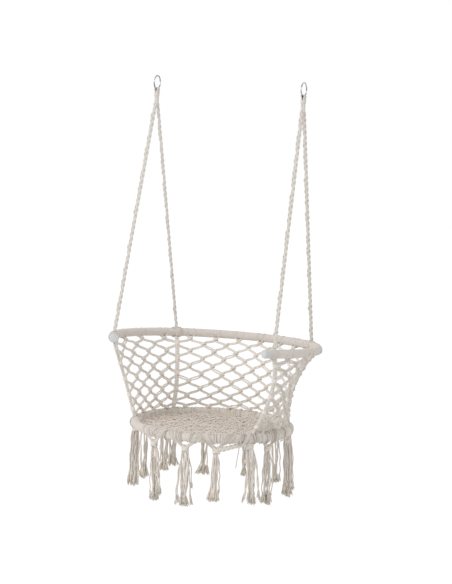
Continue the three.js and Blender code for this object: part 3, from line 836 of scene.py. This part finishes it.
def addFans(cords, panel, rows, rng):
    # cords that fan out from the three lowest rows of knots to the seat hoop, side by side
    for row, count, width in netLook["fans"]:
        knots = between(rows[row])
        at = wallPoint(panel, *knots.T)[:, None]
        turns = wallTurn(panel, knots[:, 0], 0.0)
        for slide in np.linspace(-0.5, 0.5, count) * width:
            loop = besideHoop("seat", turns[:, None], slide + rng.normal(0, 0.0012, (len(at), 1)),
                              np.array([[95, 60, 20, -20, -60]]), [netLook["fanRadius"]])
            cords.add(smoothPaths(14, at, loop), netLook["fanCord"], 5, along(turns)[:, None],
                      tint=netLook["fanShade"] * rng.uniform(-4.0, 0.5, (len(at), 1)))


def makeNet(name, seed):
    panel = panels[name]
    rng = np.random.default_rng(seed)
    rows = netKnots(panel)
    strands = []
    for row in range(0, len(rows), 2):
        for other in (row - 1, row + 1):
            if 0 <= other < len(rows):
                strands += [(rows[row], rows[other][shift:shift + len(rows[row])]) for shift in (0, 1)]
    starts, ends = (np.concatenate(group) for group in zip(*strands))
    each = (len(starts), 1)
    share = np.linspace(0, 1, netLook["steps"])
    eased = share - netLook["ease"] * np.sin(2 * np.pi * share)
    across = starts[:, :1] + (ends - starts)[:, :1] * eased
    rise = starts[:, 1:] + (ends - starts)[:, 1:] * share
    middle = wallPoint(panel, across, rise)
    right, up, out = wallFrame(panel, across, rise)
    bow = np.sin(np.pi * share)[None]
    sag = bow * (rng.normal(0, netLook["sag"], each) - netLook["sag"])
    middle = middle + up * sag[..., None] + out * (bow * rng.normal(0, 0.001, each))[..., None]
    side = unit(np.cross(out, np.gradient(middle, axis=1)))
    parting = netLook["part"] * np.clip(rng.uniform(-2.2, 1.0, each), 0, 1) * bow ** 2
    angle = ((share - 0.5) * rng.normal(0, netLook["twist"], each))[..., None]
    side = side * np.cos(angle) + out * np.sin(angle)
    paths = pairPaths(middle, side, netLook["cordRadius"] * netLook["close"] * panel["full"] + parting)
    cords = Cords()
    cords.add(paths, netLook["cordRadius"] * panel["full"], 5, np.concatenate([out, out]),
              tint=panel["tint"] * rng.uniform(0, 2, (len(paths), 1)))
    inner = between(np.concatenate(rows)).T
    squareKnots(cords, wallPoint(panel, *inner), *wallFrame(panel, *inner),
                rng.uniform(0.92, 1.18, (inner.shape[1], 1, 1)),
                dict(netKnot, tint=netKnot["tint"] + 2 * panel["tint"]))
    addHoopLoops(cords, panel, rows[0], "back", rng)
    addHoopLoops(cords, panel, rows[-1], "seat", rng)
    if name == "left":
        addFans(cords, panel, rows, rng)
    makePiece(name + "Net", cords, "basket", netCotton, (name + "_net",))


for index, netName in enumerate(panels):
    makeNet(netName, 11 + index)
print("nets made")

postLook = {
    "cordRadius": 0.0036,
    "period": 0.042,
    "amplitude": 0.0062,
    "depth": 0.0042,
    "core": {"amplitude": 0.0026, "depth": 0.001, "cordRadius": 0.0024},
    "shade": 0.6,                 # of a strand where it passes between the others
    "clear": 0.0195,              # from a hoop's middle to a post's end
    "stepsPerPeriod": 16,
}
hitchLook = {
    "turns": 5,
    "width": 0.023,
    "cordRadius": 0.0022,
    "radius": 0.0172,             # from the hoop's middle to the middle of the tying cord
    "crossed": ("right_rear",),   # where cords cross over it, and by how much to either side
    "spread": 0.014,
    # where a post's own cords run on over the seat hoop: how far along it they start and end, and the
    # painted shade of the outer ones, as a tint under nought
    "runs": {"left_front": (0.008, -0.034, 0.0), "right_front": (-0.003, 0.005, -0.45)},
    "runCord": 0.0024,
    "runOut": 0.0034,             # how far they lie over the tying cord
}


def makePost(name):
    # a four-strand braid from hoop to hoop, with a knot at each row where net strands join it
    post = posts[name]
    panel = {"ends": (post, post), "draw": 0.0}
    height = float(np.linalg.norm(hoopPoint("back", post["back"]) - hoopPoint("seat", post["seat"])))
    margin = postLook["clear"] / height
    line = evenly(wallPoint(panel, np.zeros(200), np.linspace(margin, 1 - margin, 200)),
                  int(height / postLook["period"] * postLook["stepsPerPeriod"]))
    wide, deep = squares(np.gradient(line, axis=0), outward(post["back"]))
    thin = 1 - post["thin"] * np.linspace(1, 0, len(line)) ** 1.2
    width = post["broad"] * thin
    paths = plait(line, wide, deep, 4, postLook["period"], width * postLook["amplitude"],
                  postLook["depth"] * thin)
    cords = Cords()
    cords.add(paths, width ** 0.5 * postLook["cordRadius"], 7, deep,
              tint=post["tint"] - postLook["shade"] * buried(paths, line, deep, postLook["depth"]) ** 2)
    core = postLook["core"]
    cords.add(plait(line, deep, wide, 2, postLook["period"], core["amplitude"], core["depth"]),
              core["cordRadius"], 6, wide)
    rises = np.array(netLook["rows"][1::2], float)
    ways = wallFrame({"ends": (post, turned(post, 1)), "draw": 0.0}, 0 * rises, rises)
    size = np.interp(rises, np.linspace(margin, 1 - margin, len(line)), width)
    squareKnots(cords, wallPoint(panel, 0 * rises, rises), *ways, size[:, None, None], knotLook)
    makePiece(camel(name, "post"), cords, "basket", netCotton, (name + "_post",))


def makeHitch(name, hoop, part, seed):
    # Two cords wound round the hoop as screws, half a turn apart. At one of them cords cross over
    # the turns, and at others the post's own cords run on over the hoop.
    rng = np.random.default_rng(seed)
    turn = posts[name][hoop]
    radius, cordRadius = hitchLook["radius"], hitchLook["cordRadius"]
    cords = Cords()
    share = np.linspace(0, 1, hitchLook["turns"] * 18)
    for start, width in ((0, 0.94), (180, 1)):
        slide = (share - 0.5) * (hitchLook["width"] - 2 * cordRadius) * width
        path = besideHoop(hoop, turn, slide, start + 180 * hitchLook["turns"] * share, radius)
        cords.add(path, cordRadius, 7, alongHoop(hoop, turn))
    share = np.linspace(-1, 1, 24)
    for hand in ((-1, 1) if name in hitchLook["crossed"] and hoop == "back" else ()):
        lift = (0.0032 + 0.0008 * hand) * np.cos(share * np.pi / 2) ** 0.7
        for cord in (-1, 0, 1):
            path = besideHoop(hoop, turn, hand * share * hitchLook["spread"] + cord * 0.0040,
                              180 + share * 115 + rng.normal(0, 3), radius + lift)
            cords.add(path, cordRadius, 7, along(turn))
    if name in hitchLook["runs"] and hoop == "seat":
        first, last, tint = hitchLook["runs"][name]
        for cord in (-1, 0, 1):
            path = besideHoop("seat", turn, np.linspace(first, last, 24) + cord * 0.0042,
                              np.linspace(118, -66, 24), radius + hitchLook["runOut"])
            cords.add(path, hitchLook["runCord"], 7, along(turn), tint=tint * abs(cord))
    makePiece(camel(name, part), cords, "basket", windingCotton, (name + "_" + part,))


for index, postName in enumerate(posts):
    makePost(postName)
    makeHitch(postName, "back", "upper_hitch", 20 + index)
    makeHitch(postName, "seat", "lower_hitch", 30 + index)
print("posts made")

seatLook = {
    "cell": 0.040,                # diagonal of one opening
    "sag": 0.014,
    "cordRadius": 0.0026,
    "reach": 0.258,               # of the outermost knots
    "wobble": 0.0030,
    "close": 0.9,                 # how far the two cords of a strand sit from its middle, in radii
    "bow": 0.0026,                # how far a strand bows up or down
    "weaveApart": 0.018,          # between the wavy cords that run through the net
    "weaveSpan": 0.252,           # from the middle to the last of them
    "weaveReach": 0.272,          # from the middle to their ends
    "weaveWave": 0.046,
    "weaveSwing": 0.0046,
    "weaveCord": 0.0025,
    "weaveRows": ((-0.0036, 0.0), (-0.0044, 0.0046)),    # how high each lies, and how far it is moved
}
seatKnot = dict(knotLook, wide=0.0066, tall=0.0062, deep=0.0040, cordRadius=0.0026, bands=1, steps=5,
                sides=4, corners=8, full=False)
skyward = (0.0, 0.0, 1.0)


def seatPlace(x, y):
    # the seat dips by a parabola of the distance from its middle
    distance = np.hypot(x, y) / chair["seatHoopRadius"]
    return np.stack([x, y, -seatLook["sag"] * (1 - distance ** 2)], -1)


def makeSeat():
    # Diamonds of doubled cord with a knot at each crossing, and wavy cords that run through them
    # from side to side as sine waves of their place
    rng = np.random.default_rng(51)
    half = seatLook["cell"] / 2
    reach = int(seatLook["reach"] / half) + 1
    cells = np.stack(np.mgrid[-reach:reach + 1, -reach:reach + 1], -1)
    inside = (cells.sum(-1) % 2 == 0) & (np.linalg.norm(cells, axis=-1) * half < seatLook["reach"])
    places = cells * half + rng.normal(0, seatLook["wobble"], cells.shape)
    j, i = np.nonzero(inside.T)
    flat = places[i, j]
    cords = Cords()
    squareKnots(cords, seatPlace(*flat.T), (1.0, 0.0, 0.0), (0.0, 1.0, 0.0), skyward,
                rng.uniform(0.9, 1.25, (len(flat), 1, 1)), seatKnot)
    share = np.linspace(0, 1, 7)
    bow = np.sin(np.pi * share)
    for way in (1, -1):
        there = inside[i + 1, j + way]
        start, end = flat[there][:, None], places[i + 1, j + way][there][:, None]
        middle = seatPlace(*np.moveaxis(start + (end - start) * share[:, None], -1, 0))
        each = (len(middle), 1)
        middle[..., 2] += bow * rng.normal(0, seatLook["bow"], each)
        side = unit(np.cross(skyward, np.gradient(middle, axis=1)))
        apart = seatLook["cordRadius"] * seatLook["close"] + bow * rng.uniform(-0.001, 0.0018, each)
        cords.add(pairPaths(middle, side, apart), seatLook["cordRadius"], 5, skyward)
    lines = np.arange(-seatLook["weaveSpan"], seatLook["weaveSpan"] + 0.0001, seatLook["weaveApart"])[:, None]
    x = np.linspace(-1, 1, 60) * np.sqrt(seatLook["weaveReach"] ** 2 - lines ** 2)
    wave = 2 * np.pi * (x / seatLook["weaveWave"] + rng.uniform(0, 1, lines.shape))
    for lift, shift in seatLook["weaveRows"]:
        swing = seatLook["weaveSwing"] * np.sin(wave) + 0.0018 * np.sin(wave * 0.43 + lines * 90)
        path = seatPlace(x, lines + shift + swing)
        path[..., 2] += lift + 0.0016 * np.sin(wave * 1.7 + lines * 300)
        cords.add(path, seatLook["weaveCord"], 5, skyward, tint=0.25)
    makePiece("seatNet", cords, "basket", seatCotton, ("seat_net",))


makeSeat()
print("seat made")

tasselLook = {
    "length": 0.25,               # from the seat hoop's middle to the ends
    "knotDrop": 0.026,            # from the hoop's cord to the middle of the knot
    "skirtDrop": 0.006,           # from there to where the strands start
    "core": ((0.0072, 0.0135), (0.0050, 0.006), (0.0040, -0.004), (0.0050, -0.012)),
    "coreCord": 0.0050,           # of the two cords inside the knot: how far aside and how high
    "cordRadius": 0.0023,
    "legs": 6,                    # cords of a leg
    "legCord": 0.0022,
    "legTurn": 5.2,               # degrees from a tassel's middle to its legs'
    "legRadius": 0.0176,          # from the hoop's middle to the cords over its outside
    "legPitch": 0.0047,           # between the cords of a leg
    "legAngles": (-58, -36, -12, 14, 40, 68, 96, 126, 158),
    "legFan": (0.80, 0.98, 1.12, 1.24, 1.34, 1.42, 1.46, 1.48, 1.50),    # their spread on the way
    "legShade": 0.75,
    "steps": 15,
    "spiral": 2.39996,            # the golden angle, from one strand to the next
    "bundleSpan": 1.64,           # half widths from the first bundle to the last
    "pinch": 0.62,                # share by which the skirt is narrower at the knot
    "pinchFade": 0.014,
    "sway": (0.0006, 0.0022),
    "wave": (0.008, 0.014),
    "depth": 0.62,                # of a tassel from front to back, as a share of its width
    "fibres": 11,                 # at each cord's frayed end
    "fibreRadius": 0.0010,
    "fibreSpread": (0.5, 1.7),    # in the cord's radii
    "facing": 24.0,               # degrees that the tassels' widths are turned about Z
}
tasselKnot = dict(knotLook, wide=0.0122, tall=0.0125, deep=0.0090, cordRadius=0.0031)

# Turns are in degrees, and legs is the share of legTurn. Lengths are shares. Half widths are given
# under the knot, halfway and at the ends, in metres, and lean is how far the ends hang to one side.
strandKeys = ("length", "count", "neck", "middle", "foot", "fray", "flare", "tan", "lean", "bundles")
tasselKeys = ("turn", "legs", *strandKeys)
tassels = {
    "tassel_01": (-150, 1.0, 1.00, 11, 0.017, 0.016, 0.022, 0.055, 0.011, 0.95, 0.002, 3),
    "tassel_02": (-115, 0.55, 0.90, 9, 0.011, 0.014, 0.016, 0.045, 0.003, 1.0, 0.010, 2),
    "tassel_03": (-90.4, 1.0, 0.95, 9, 0.014, 0.017, 0.018, 0.045, 0.003, 1.0, 0.009, 3),
    "tassel_04": (-22.6, 1.2, 1.01, 13, 0.015, 0.016, 0.012, 0.026, 0.001, 0.45, 0.012, 4),
    "tassel_05": (5.2, 1.4, 1.01, 12, 0.018, 0.016, 0.014, 0.030, 0.002, 0.7, 0.003, 4),
    "tassel_06": (28.1, 1.2, 0.92, 17, 0.012, 0.012, 0.015, 0.055, 0.007, 1.0, -0.004, 0),
    "tassel_07": (70.2, 1.2, 1.01, 11, 0.014, 0.014, 0.017, 0.034, 0.004, 0.6, 0.002, 4),
    "tassel_08": (112.6, 0.9, 0.94, 12, 0.017, 0.016, 0.015, 0.040, 0.003, 0.8, 0.012, 0),
    "tassel_09": (147.3, 1.0, 0.97, 9, 0.014, 0.014, 0.013, 0.026, 0.002, 0.8, 0.011, 3),
    "tassel_10": (178.4, 1.0, 0.96, 7, 0.009, 0.009, 0.010, 0.026, 0.002, 0.9, 0.007, 2),
}
tails = {
    "right_front": (0.97, 14, 0.016, 0.017, 0.018, 0.060, 0.003, 0.9, -0.003, 0),
    "right_rear": (0.84, 9, 0.013, 0.014, 0.016, 0.040, 0.004, 1.0, 0.010, 3),
    "left_rear": (1.09, 13, 0.015, 0.018, 0.019, 0.050, 0.003, 0.9, 0.008, 4),
    "left_front": (0.96, 13, 0.014, 0.015, 0.014, 0.030, 0.002, 0.35, 0.021, 4),
}
# cords that hang apart from the rest: how far to one side halfway and at the end, and the length
strays = {
    "tassel_02": ((-0.010, -0.006, 0.8),),
    "tassel_03": ((-0.018, -0.014, 0.88),),
    "tassel_04": ((-0.013, -0.007, 0.97), (0.022, 0.031, 0.88), (0.024, 0.027, 0.90), (0.016, 0.024, 0.89)),
    "tassel_05": ((-0.026, -0.028, 0.97), (-0.024, -0.020, 0.95), (0.028, 0.029, 0.68),
                  (0.020, 0.031, 0.97), (0.021, 0.026, 0.94)),
    "tassel_06": ((0.019, 0.014, 0.9),),
    "tassel_07": ((-0.017, -0.010, 0.94), (0.018, 0.014, 0.97), (0.031, 0.015, 0.93)),
    "tassel_09": ((0.030, 0.027, 0.96),),
    "right_front": ((0.013, 0.006, 0.95),),
    "right_rear": ((-0.015, -0.012, 0.86),),
    "left_front": ((0.000, -0.012, 0.97), (0.004, -0.008, 0.92), (0.042, 0.047, 0.93), (0.038, 0.044, 0.90)),
}
tassels = {name: dict(zip(tasselKeys, row)) for name, row in tassels.items()}
tails = {name: dict(zip(strandKeys, row)) for name, row in tails.items()}


def addStrands(cords, turn, drop, look, apart, rng):
    # Cords hang from the knot, each at its own share of the tassel's half width, which runs through
    # its three values as a parabola of the way down and is pinched at the knot. Bundles stand apart
    # at first and merge towards the ends. Each cord sways by two sines, and its end widens, frays
    # into fibres and bends out by the flare.
    top = hoopPoint("seat", turn) + down(drop)
    count, bundles = look["count"], look["bundles"]
    share = np.linspace(0, 1, tasselLook["steps"])[None]
    order = np.arange(count)[:, None]
    angle = order * tasselLook["spiral"] + rng.uniform(0, 6.28)
    reach = np.sqrt((order + 0.5) / count)
    place = reach * np.cos(angle)
    if bundles:
        bundle = (order % bundles - (bundles - 1) / 2) * tasselLook["bundleSpan"] / (bundles - 1)
        bundle = bundle + 0.40 / bundles * place
        place = bundle + (place - bundle) * share ** 2
    halfway, last, extent = np.array(apart).reshape(-1, 3).T[..., None]
    depth = np.concatenate([reach * np.sin(angle), rng.uniform(-0.5, 0.5, extent.shape)])
    extent = np.concatenate([rng.uniform(0.93, 1.0, (count, 1)), extent])
    ends = extent * (tasselLook["length"] * look["length"] - drop)
    neck, middle, foot = look["neck"], look["middle"], look["foot"]
    wide = neck * (1 - share) ** 2 + (4 * middle - neck - foot) * share * (1 - share) + foot * share ** 2
    pinch = 1 - tasselLook["pinch"] * np.exp(-share * ends / tasselLook["pinchFade"])
    aside = place * wide * pinch[:count] + look["lean"] * share ** 0.6
    tuft = np.clip((share * ends - ends + look["fray"]) / look["fray"], 0, 1)
    aside = aside + (aside - look["lean"]) / foot * look["flare"] * tuft[:count] ** 1.5
    strayed = pinch[count:] * (halfway * (share * (2 - share)) ** 0.5 + (last - halfway) * share ** 2.5)
    sway = rng.uniform(*tasselLook["sway"], ends.shape) * np.minimum(1, share * 4)
    spin = rng.uniform(0, 6.28, (2, len(ends), 1))
    waves = share * ends / rng.uniform(*tasselLook["wave"], ends.shape)
    aside = np.concatenate([aside, strayed]) + sway * np.sin(waves + spin[0])
    depth = depth * wide * tasselLook["depth"] * pinch + sway * np.sin(waves + spin[1])
    across = outward(tasselLook["facing"] + 90.0)
    path = (top + aside[..., None] * across - depth[..., None] * outward(tasselLook["facing"])
            + (share * ends)[..., None] * down(1.0))
    width = tasselLook["cordRadius"] * (1 + 0.6 * tuft - 0.85 * np.clip(share * 14 - 13, 0, 1))
    shade = 0.3 * (1 - tuft) * rng.uniform(-0.2, 1, ends.shape)
    guide = (0.3, 1.0, 0.1)
    cords.add(path, width, 6, guide, tint=look["tan"] * (0.12 * share + 0.62 * tuft) - shade)
    start, end = (np.repeat(path[:, at], tasselLook["fibres"], 0)[:, None] for at in (-3, -1))
    each = (len(start), 1)
    share = np.linspace(0, 1, 5)
    spin = share + rng.uniform(0, 2 * np.pi, each)
    reach = share * rng.uniform(1.0, 1.22, each)
    spread = tasselLook["cordRadius"] * rng.uniform(*tasselLook["fibreSpread"], each)
    spread = spread * (1 + 0.9 * share ** 1.5)
    around = np.stack([np.cos(spin), np.sin(spin), 0 * spin], -1)
    path = start + (end - start) * reach[..., None] + around * spread[..., None]
    tint = 0.10 + look["tan"] * (0.62 + 0.12 * share) + rng.uniform(-0.1, 0.1, each)
    cords.add(path, tasselLook["fibreRadius"] * (1.2 - 0.8 * share), 3, guide, tint=tint)


def addKnot(cords, at, turn, size):
    squareKnots(cords, at[None], along(turn), skyward, outward(turn), size, tasselKnot)


def addLegs(cords, at, look, rng):
    # Two fans of cords from the knot up over the outside and the top of the hoop. They spread as
    # they rise, the outer ones more.
    turn, count = look["turn"], tasselLook["legs"]
    angles = np.array(tasselLook["legAngles"])
    order = np.linspace(-1, 1, count)[:, None]
    middle = math.radians(tasselLook["legTurn"] * look["legs"]) * chair["seatHoopRadius"]
    radius = tasselLook["legRadius"] - 0.0008 * np.clip(angles / 90, 0, 1)
    for hand in (-1, 1):
        slide = hand * middle + order * tasselLook["legPitch"] * (count - 1) / 2
        slide = slide * tasselLook["legFan"] + rng.normal(0, 0.0007, (count, 1))
        first = at + (order * 0.004 + hand * 0.005) * along(turn) - down(0.002)
        path = smoothPaths(26, first[:, None], besideHoop("seat", turn, slide, angles, radius))
        cords.add(path, tasselLook["legCord"], 6, along(turn),
                  tint=-tasselLook["legShade"] * rng.uniform(0, 1, (count, 1)) ** 1.5)


braidLook = {
    "turns": (29.5, 50.0),        # from a tassel's knot to the left front post's foot
    "heights": (-0.040, -0.037, -0.032, -0.028, -0.024, -0.021, -0.019),
    "outward": 0.004,
    "period": 0.05,
    "amplitude": 0.0044,
    "depth": 0.0024,
    "gap": 0.0022,
    "cordRadius": 0.0028,
}
looseLook = {
    "turn": -178.0,
    "line": ((0, 0, -0.017), (0.003, 0, -0.07), (0.001, 0, -0.13), (-0.006, 0, -0.18), (-0.010, 0, -0.215)),
    "cordRadius": 0.0019,
}


def addBraid(cords):
    # a braid under the hoop
    turns = np.linspace(*braidLook["turns"], len(braidLook["heights"]))
    line = hoopPoint("seat", turns) + outward(turns) * braidLook["outward"]
    line[:, 2] = braidLook["heights"]
    line = smoothPath(line, 70)
    wide, deep = squares(np.gradient(line, axis=0), skyward)
    sizes = (braidLook[key] for key in ("period", "amplitude", "depth", "gap"))
    cords.add(plait(line, deep, wide, 3, *sizes), braidLook["cordRadius"], 7, wide)


def addLooseEnd(cords):
    line = hoopPoint("seat", looseLook["turn"]) + looseLook["line"]
    cords.add(smoothPath(line, 20), looseLook["cordRadius"], 6, (0.3, 1.0, 0.1))


def makeTassel(name, seed):
    rng = np.random.default_rng(seed)
    look = tassels[name]
    turn = look["turn"]
    drop = chair["windingRadius"] + tasselLook["knotDrop"]
    at = hoopPoint("seat", turn) + down(drop)
    cords = Cords()
    addLegs(cords, at, look, rng)
    addKnot(cords, at, turn, rng.uniform(0.94, 1.08))
    aside, lift = np.array(tasselLook["core"]).T[..., None]
    for hand in (-1, 1):
        core = at + hand * aside * along(turn) - lift * down(1.0)
        cords.add(smoothPath(core, 9), tasselLook["coreCord"], 8, along(turn + 90.0))
    addStrands(cords, turn, drop + tasselLook["skirtDrop"], look, strays.get(name, ()), rng)
    if name == "tassel_06":
        addBraid(cords)
    if name == "tassel_10":
        addLooseEnd(cords)
    makePiece(camel(name), cords, "basket", tasselCotton, (name,))


tailLook = {
    "drop": 0.0165,               # from the seat hoop's middle to where a tail starts
    "bands": 3,
    "bandRadius": 0.0110,
    "bandCord": 0.0025,
    "bandPitch": 0.0044,
}


def makeTail(name, seed):
    # the strands of a tail, bands round their top, and in front of one a knot
    turn = posts[name]["seat"]
    top = hoopPoint("seat", turn) + down(tailLook["drop"])
    cords = Cords()
    addStrands(cords, turn, tailLook["drop"], tails[name], strays.get(name, ()), np.random.default_rng(seed))
    if name == "left_front":
        addKnot(cords, top + 0.004 * along(turn) + down(0.009), turn, 1.25)
    angle = np.linspace(0, 2 * np.pi, 24, endpoint=False)
    x, y = tailLook["bandRadius"] * np.cos(angle), tailLook["bandRadius"] * np.sin(angle)
    for k in range(tailLook["bands"]):
        z = 0.001 * np.sin(angle + k) - 0.0060 - tailLook["bandPitch"] * k
        cords.add(top + np.stack([x, y, z], -1), tailLook["bandCord"], 6, skyward, closed=True)
    makePiece(camel(name, "tail"), cords, "basket", tasselCotton, (name + "_tail",))


for index, tasselName in enumerate(tassels):
    makeTassel(tasselName, 70 + index)
for index, postName in enumerate(posts):
    makeTail(postName, 90 + index)

rimLook = {
    "cordRadius": 0.0023,
    "radius": 0.0170,             # from the hoop's middle to the cords over it
    "inRadius": 0.0158,           # and on the hoop's inner side
    "angles": (200, 165, 128, 92, 56, 20, -16, -48, -80),
    "covered": ((-37.0, 3.0), (9.5, 112.0), (127.0, 233.0)),    # turns between which they lie side by side
    "spacing": (0.85, 0.95, 1.0, 1.9),          # degrees from one of those to the next
    "shade": 0.95,                # of the darkest of them at the front
    "front": -0.16,               # painted shade of the lightest of them at the front, a tint under nought
    "warm": 0.35,                 # tint of those at the rear, painted warm light that lifts them out of shade, and of all of them on the inner side
    "uneven": 0.0014,             # how far one stands off more than another
    "leans": 0.8,                 # degrees that one leans more than another
    "rough": 1.3,                 # how much more unruly they are beside the left front post
    "roughTurns": (34, 54, 115),  # where that begins, where it is full and where it ends
    "edge": (0.262, 0.003),       # how far from the middle they start, and how low
    "thinEdge": (0.258, 0.002),
    "apart": 6.6,                 # degrees between the loops elsewhere
    "thin": 0.0012,
    "steps": 17,
}


def seatEdge(turns, reach, drop):
    return outward(turns) * reach + down(drop)


def makeSeatRim():
    # Cords from the seat's edge over the hoop. At the front they lie side by side, pressed into the
    # winding, and lean towards the nearest tassel as they come down the outside. Elsewhere thin
    # pairs of them loop over it.
    rng = np.random.default_rng(52)
    spans, angles = rimLook["covered"], np.array(rimLook["angles"])
    share = np.linspace(0, 1, rimLook["steps"])
    cords = Cords()
    turns = spans[0][0] + np.cumsum(rng.choice(rimLook["spacing"], 240))
    turns = turns[sum((turns > low) & (turns < high) for low, high in spans) > 0][:, None]
    away = (np.array([look["turn"] for look in tassels.values()]) - turns + 180) % 360 - 180
    nearest = np.take_along_axis(away, np.abs(away).argmin(1)[:, None], 1)
    begin, full, stop = rimLook["roughTurns"]
    rough = 1 + rimLook["rough"] * np.clip((turns - begin) / (full - begin), 0, 1) * (turns < stop)
    lean = np.clip(nearest, -9, 9) * 0.34 + rng.normal(0, rimLook["leans"], turns.shape) * rough
    shifted = angles + rng.normal(0, 2, turns.shape)
    radius = (np.where(angles < 150, rimLook["radius"], rimLook["inRadius"])
              + rng.normal(0, rimLook["uneven"], turns.shape) * rough)
    loop = aroundHoop("seat", turns + lean * np.clip((110 - angles) / 190, 0, 1), shifted, radius)
    path = smoothPaths(len(share), seatEdge(turns, *rimLook["edge"]), loop)
    # painted shade on the front cords, darker on some of them at random
    front = rimLook["front"] - rimLook["shade"] * rng.uniform(0, 1, turns.shape) ** 1.6
    # the rear cords and the inner ends of the front ones fade to the warm tint, painted light at the rear
    inward = np.where(turns > spans[-1][0], 1, np.clip(1.3 - 2.4 * share, 0, 1))
    cords.add(path, rimLook["cordRadius"], 5, along(turns), tint=front + (rimLook["warm"] - front) * inward)
    turns = np.arange(spans[-1][1] + 4, spans[0][0] + 360 - 22, rimLook["apart"])[:, None]
    turns = turns + rng.normal(0, 0.5, turns.shape)
    width = rimLook["thin"] + 0.0012 * np.clip(1 - 6 * share, 0, 1)
    for slide in (-0.45, 0.45):
        loop = aroundHoop("seat", turns + slide * (1 + 0.9 * np.cos(np.radians(angles - 92))), angles,
                          rimLook["radius"])
        path = smoothPaths(len(share), seatEdge(turns, *rimLook["thinEdge"]), loop)
        cords.add(path, width, 5, along(turns))
    makePiece("seatRimCords", cords, "basket", netCotton)


makeSeatRim()
print("tassels made")

stage = {
    "floorHeight": -2.0,
    "floorHalf": 14.0,
    "lamps": {                    # place, size across and power
        "keyLamp": ((-2.8, -4.6, 1.9), 2.6, 100.0),
        "fillLamp": ((4.2, -2.5, 0.8), 3.0, 14.0),
    },
    "aim": (0.0, 0.0, -1.0),
    "ambient": 0.71,
}


def makeStage():
    mesh = bpy.data.meshes.new("studioFloor")
    half, height = stage["floorHalf"], stage["floorHeight"]
    corners = [(x * half, y * half, height) for x, y in ((-1, -1), (1, -1), (1, 1), (-1, 1))]
    mesh.from_pydata(corners, [], [(0, 1, 2, 3)])
    finish = Finish("pale_floor", **{"Base Color": (0.86, 0.86, 0.86), "Roughness": 0.8})
    white = finish.node("Emission", {"Color": (1, 1, 1), "Strength": 1.15})
    finish.feed(finish.output.inputs[0], finish.fade(finish.seen() * 0.8, finish.shader, white))
    mesh.materials.append(finish.material)
    linked("studioFloor", mesh)


def makeLamp(name, place, size, power):
    data = bpy.data.lights.new(name, "AREA")
    data.shape = "DISK"
    data.size = size
    data.energy = power
    lamp = linked(name, data)
    lamp.location = place
    lamp.rotation_euler = (Vector(stage["aim"]) - Vector(place)).to_track_quat("-Z", "Y").to_euler()


def makeWorld():
    # soft white light all round, and plain white where the camera or a polished part sees it
    world = bpy.data.worlds.new("studioWorld")
    bpy.context.scene.world = world
    sky = Nodes(world)
    soft, white = (sky.node("Background", {"Color": (1, 1, 1), "Strength": strength})
                   for strength in (stage["ambient"], 1.0))
    sky.node("OutputWorld", {"Surface": sky.fade(sky.seen(), soft, white)})


makeStage()
for lampName, lampLook in stage["lamps"].items():
    makeLamp(lampName, *lampLook)
makeWorld()
bpy.context.scene.view_settings.view_transform = "Standard"
print("stage made")

bpy.context.view_layer.update()
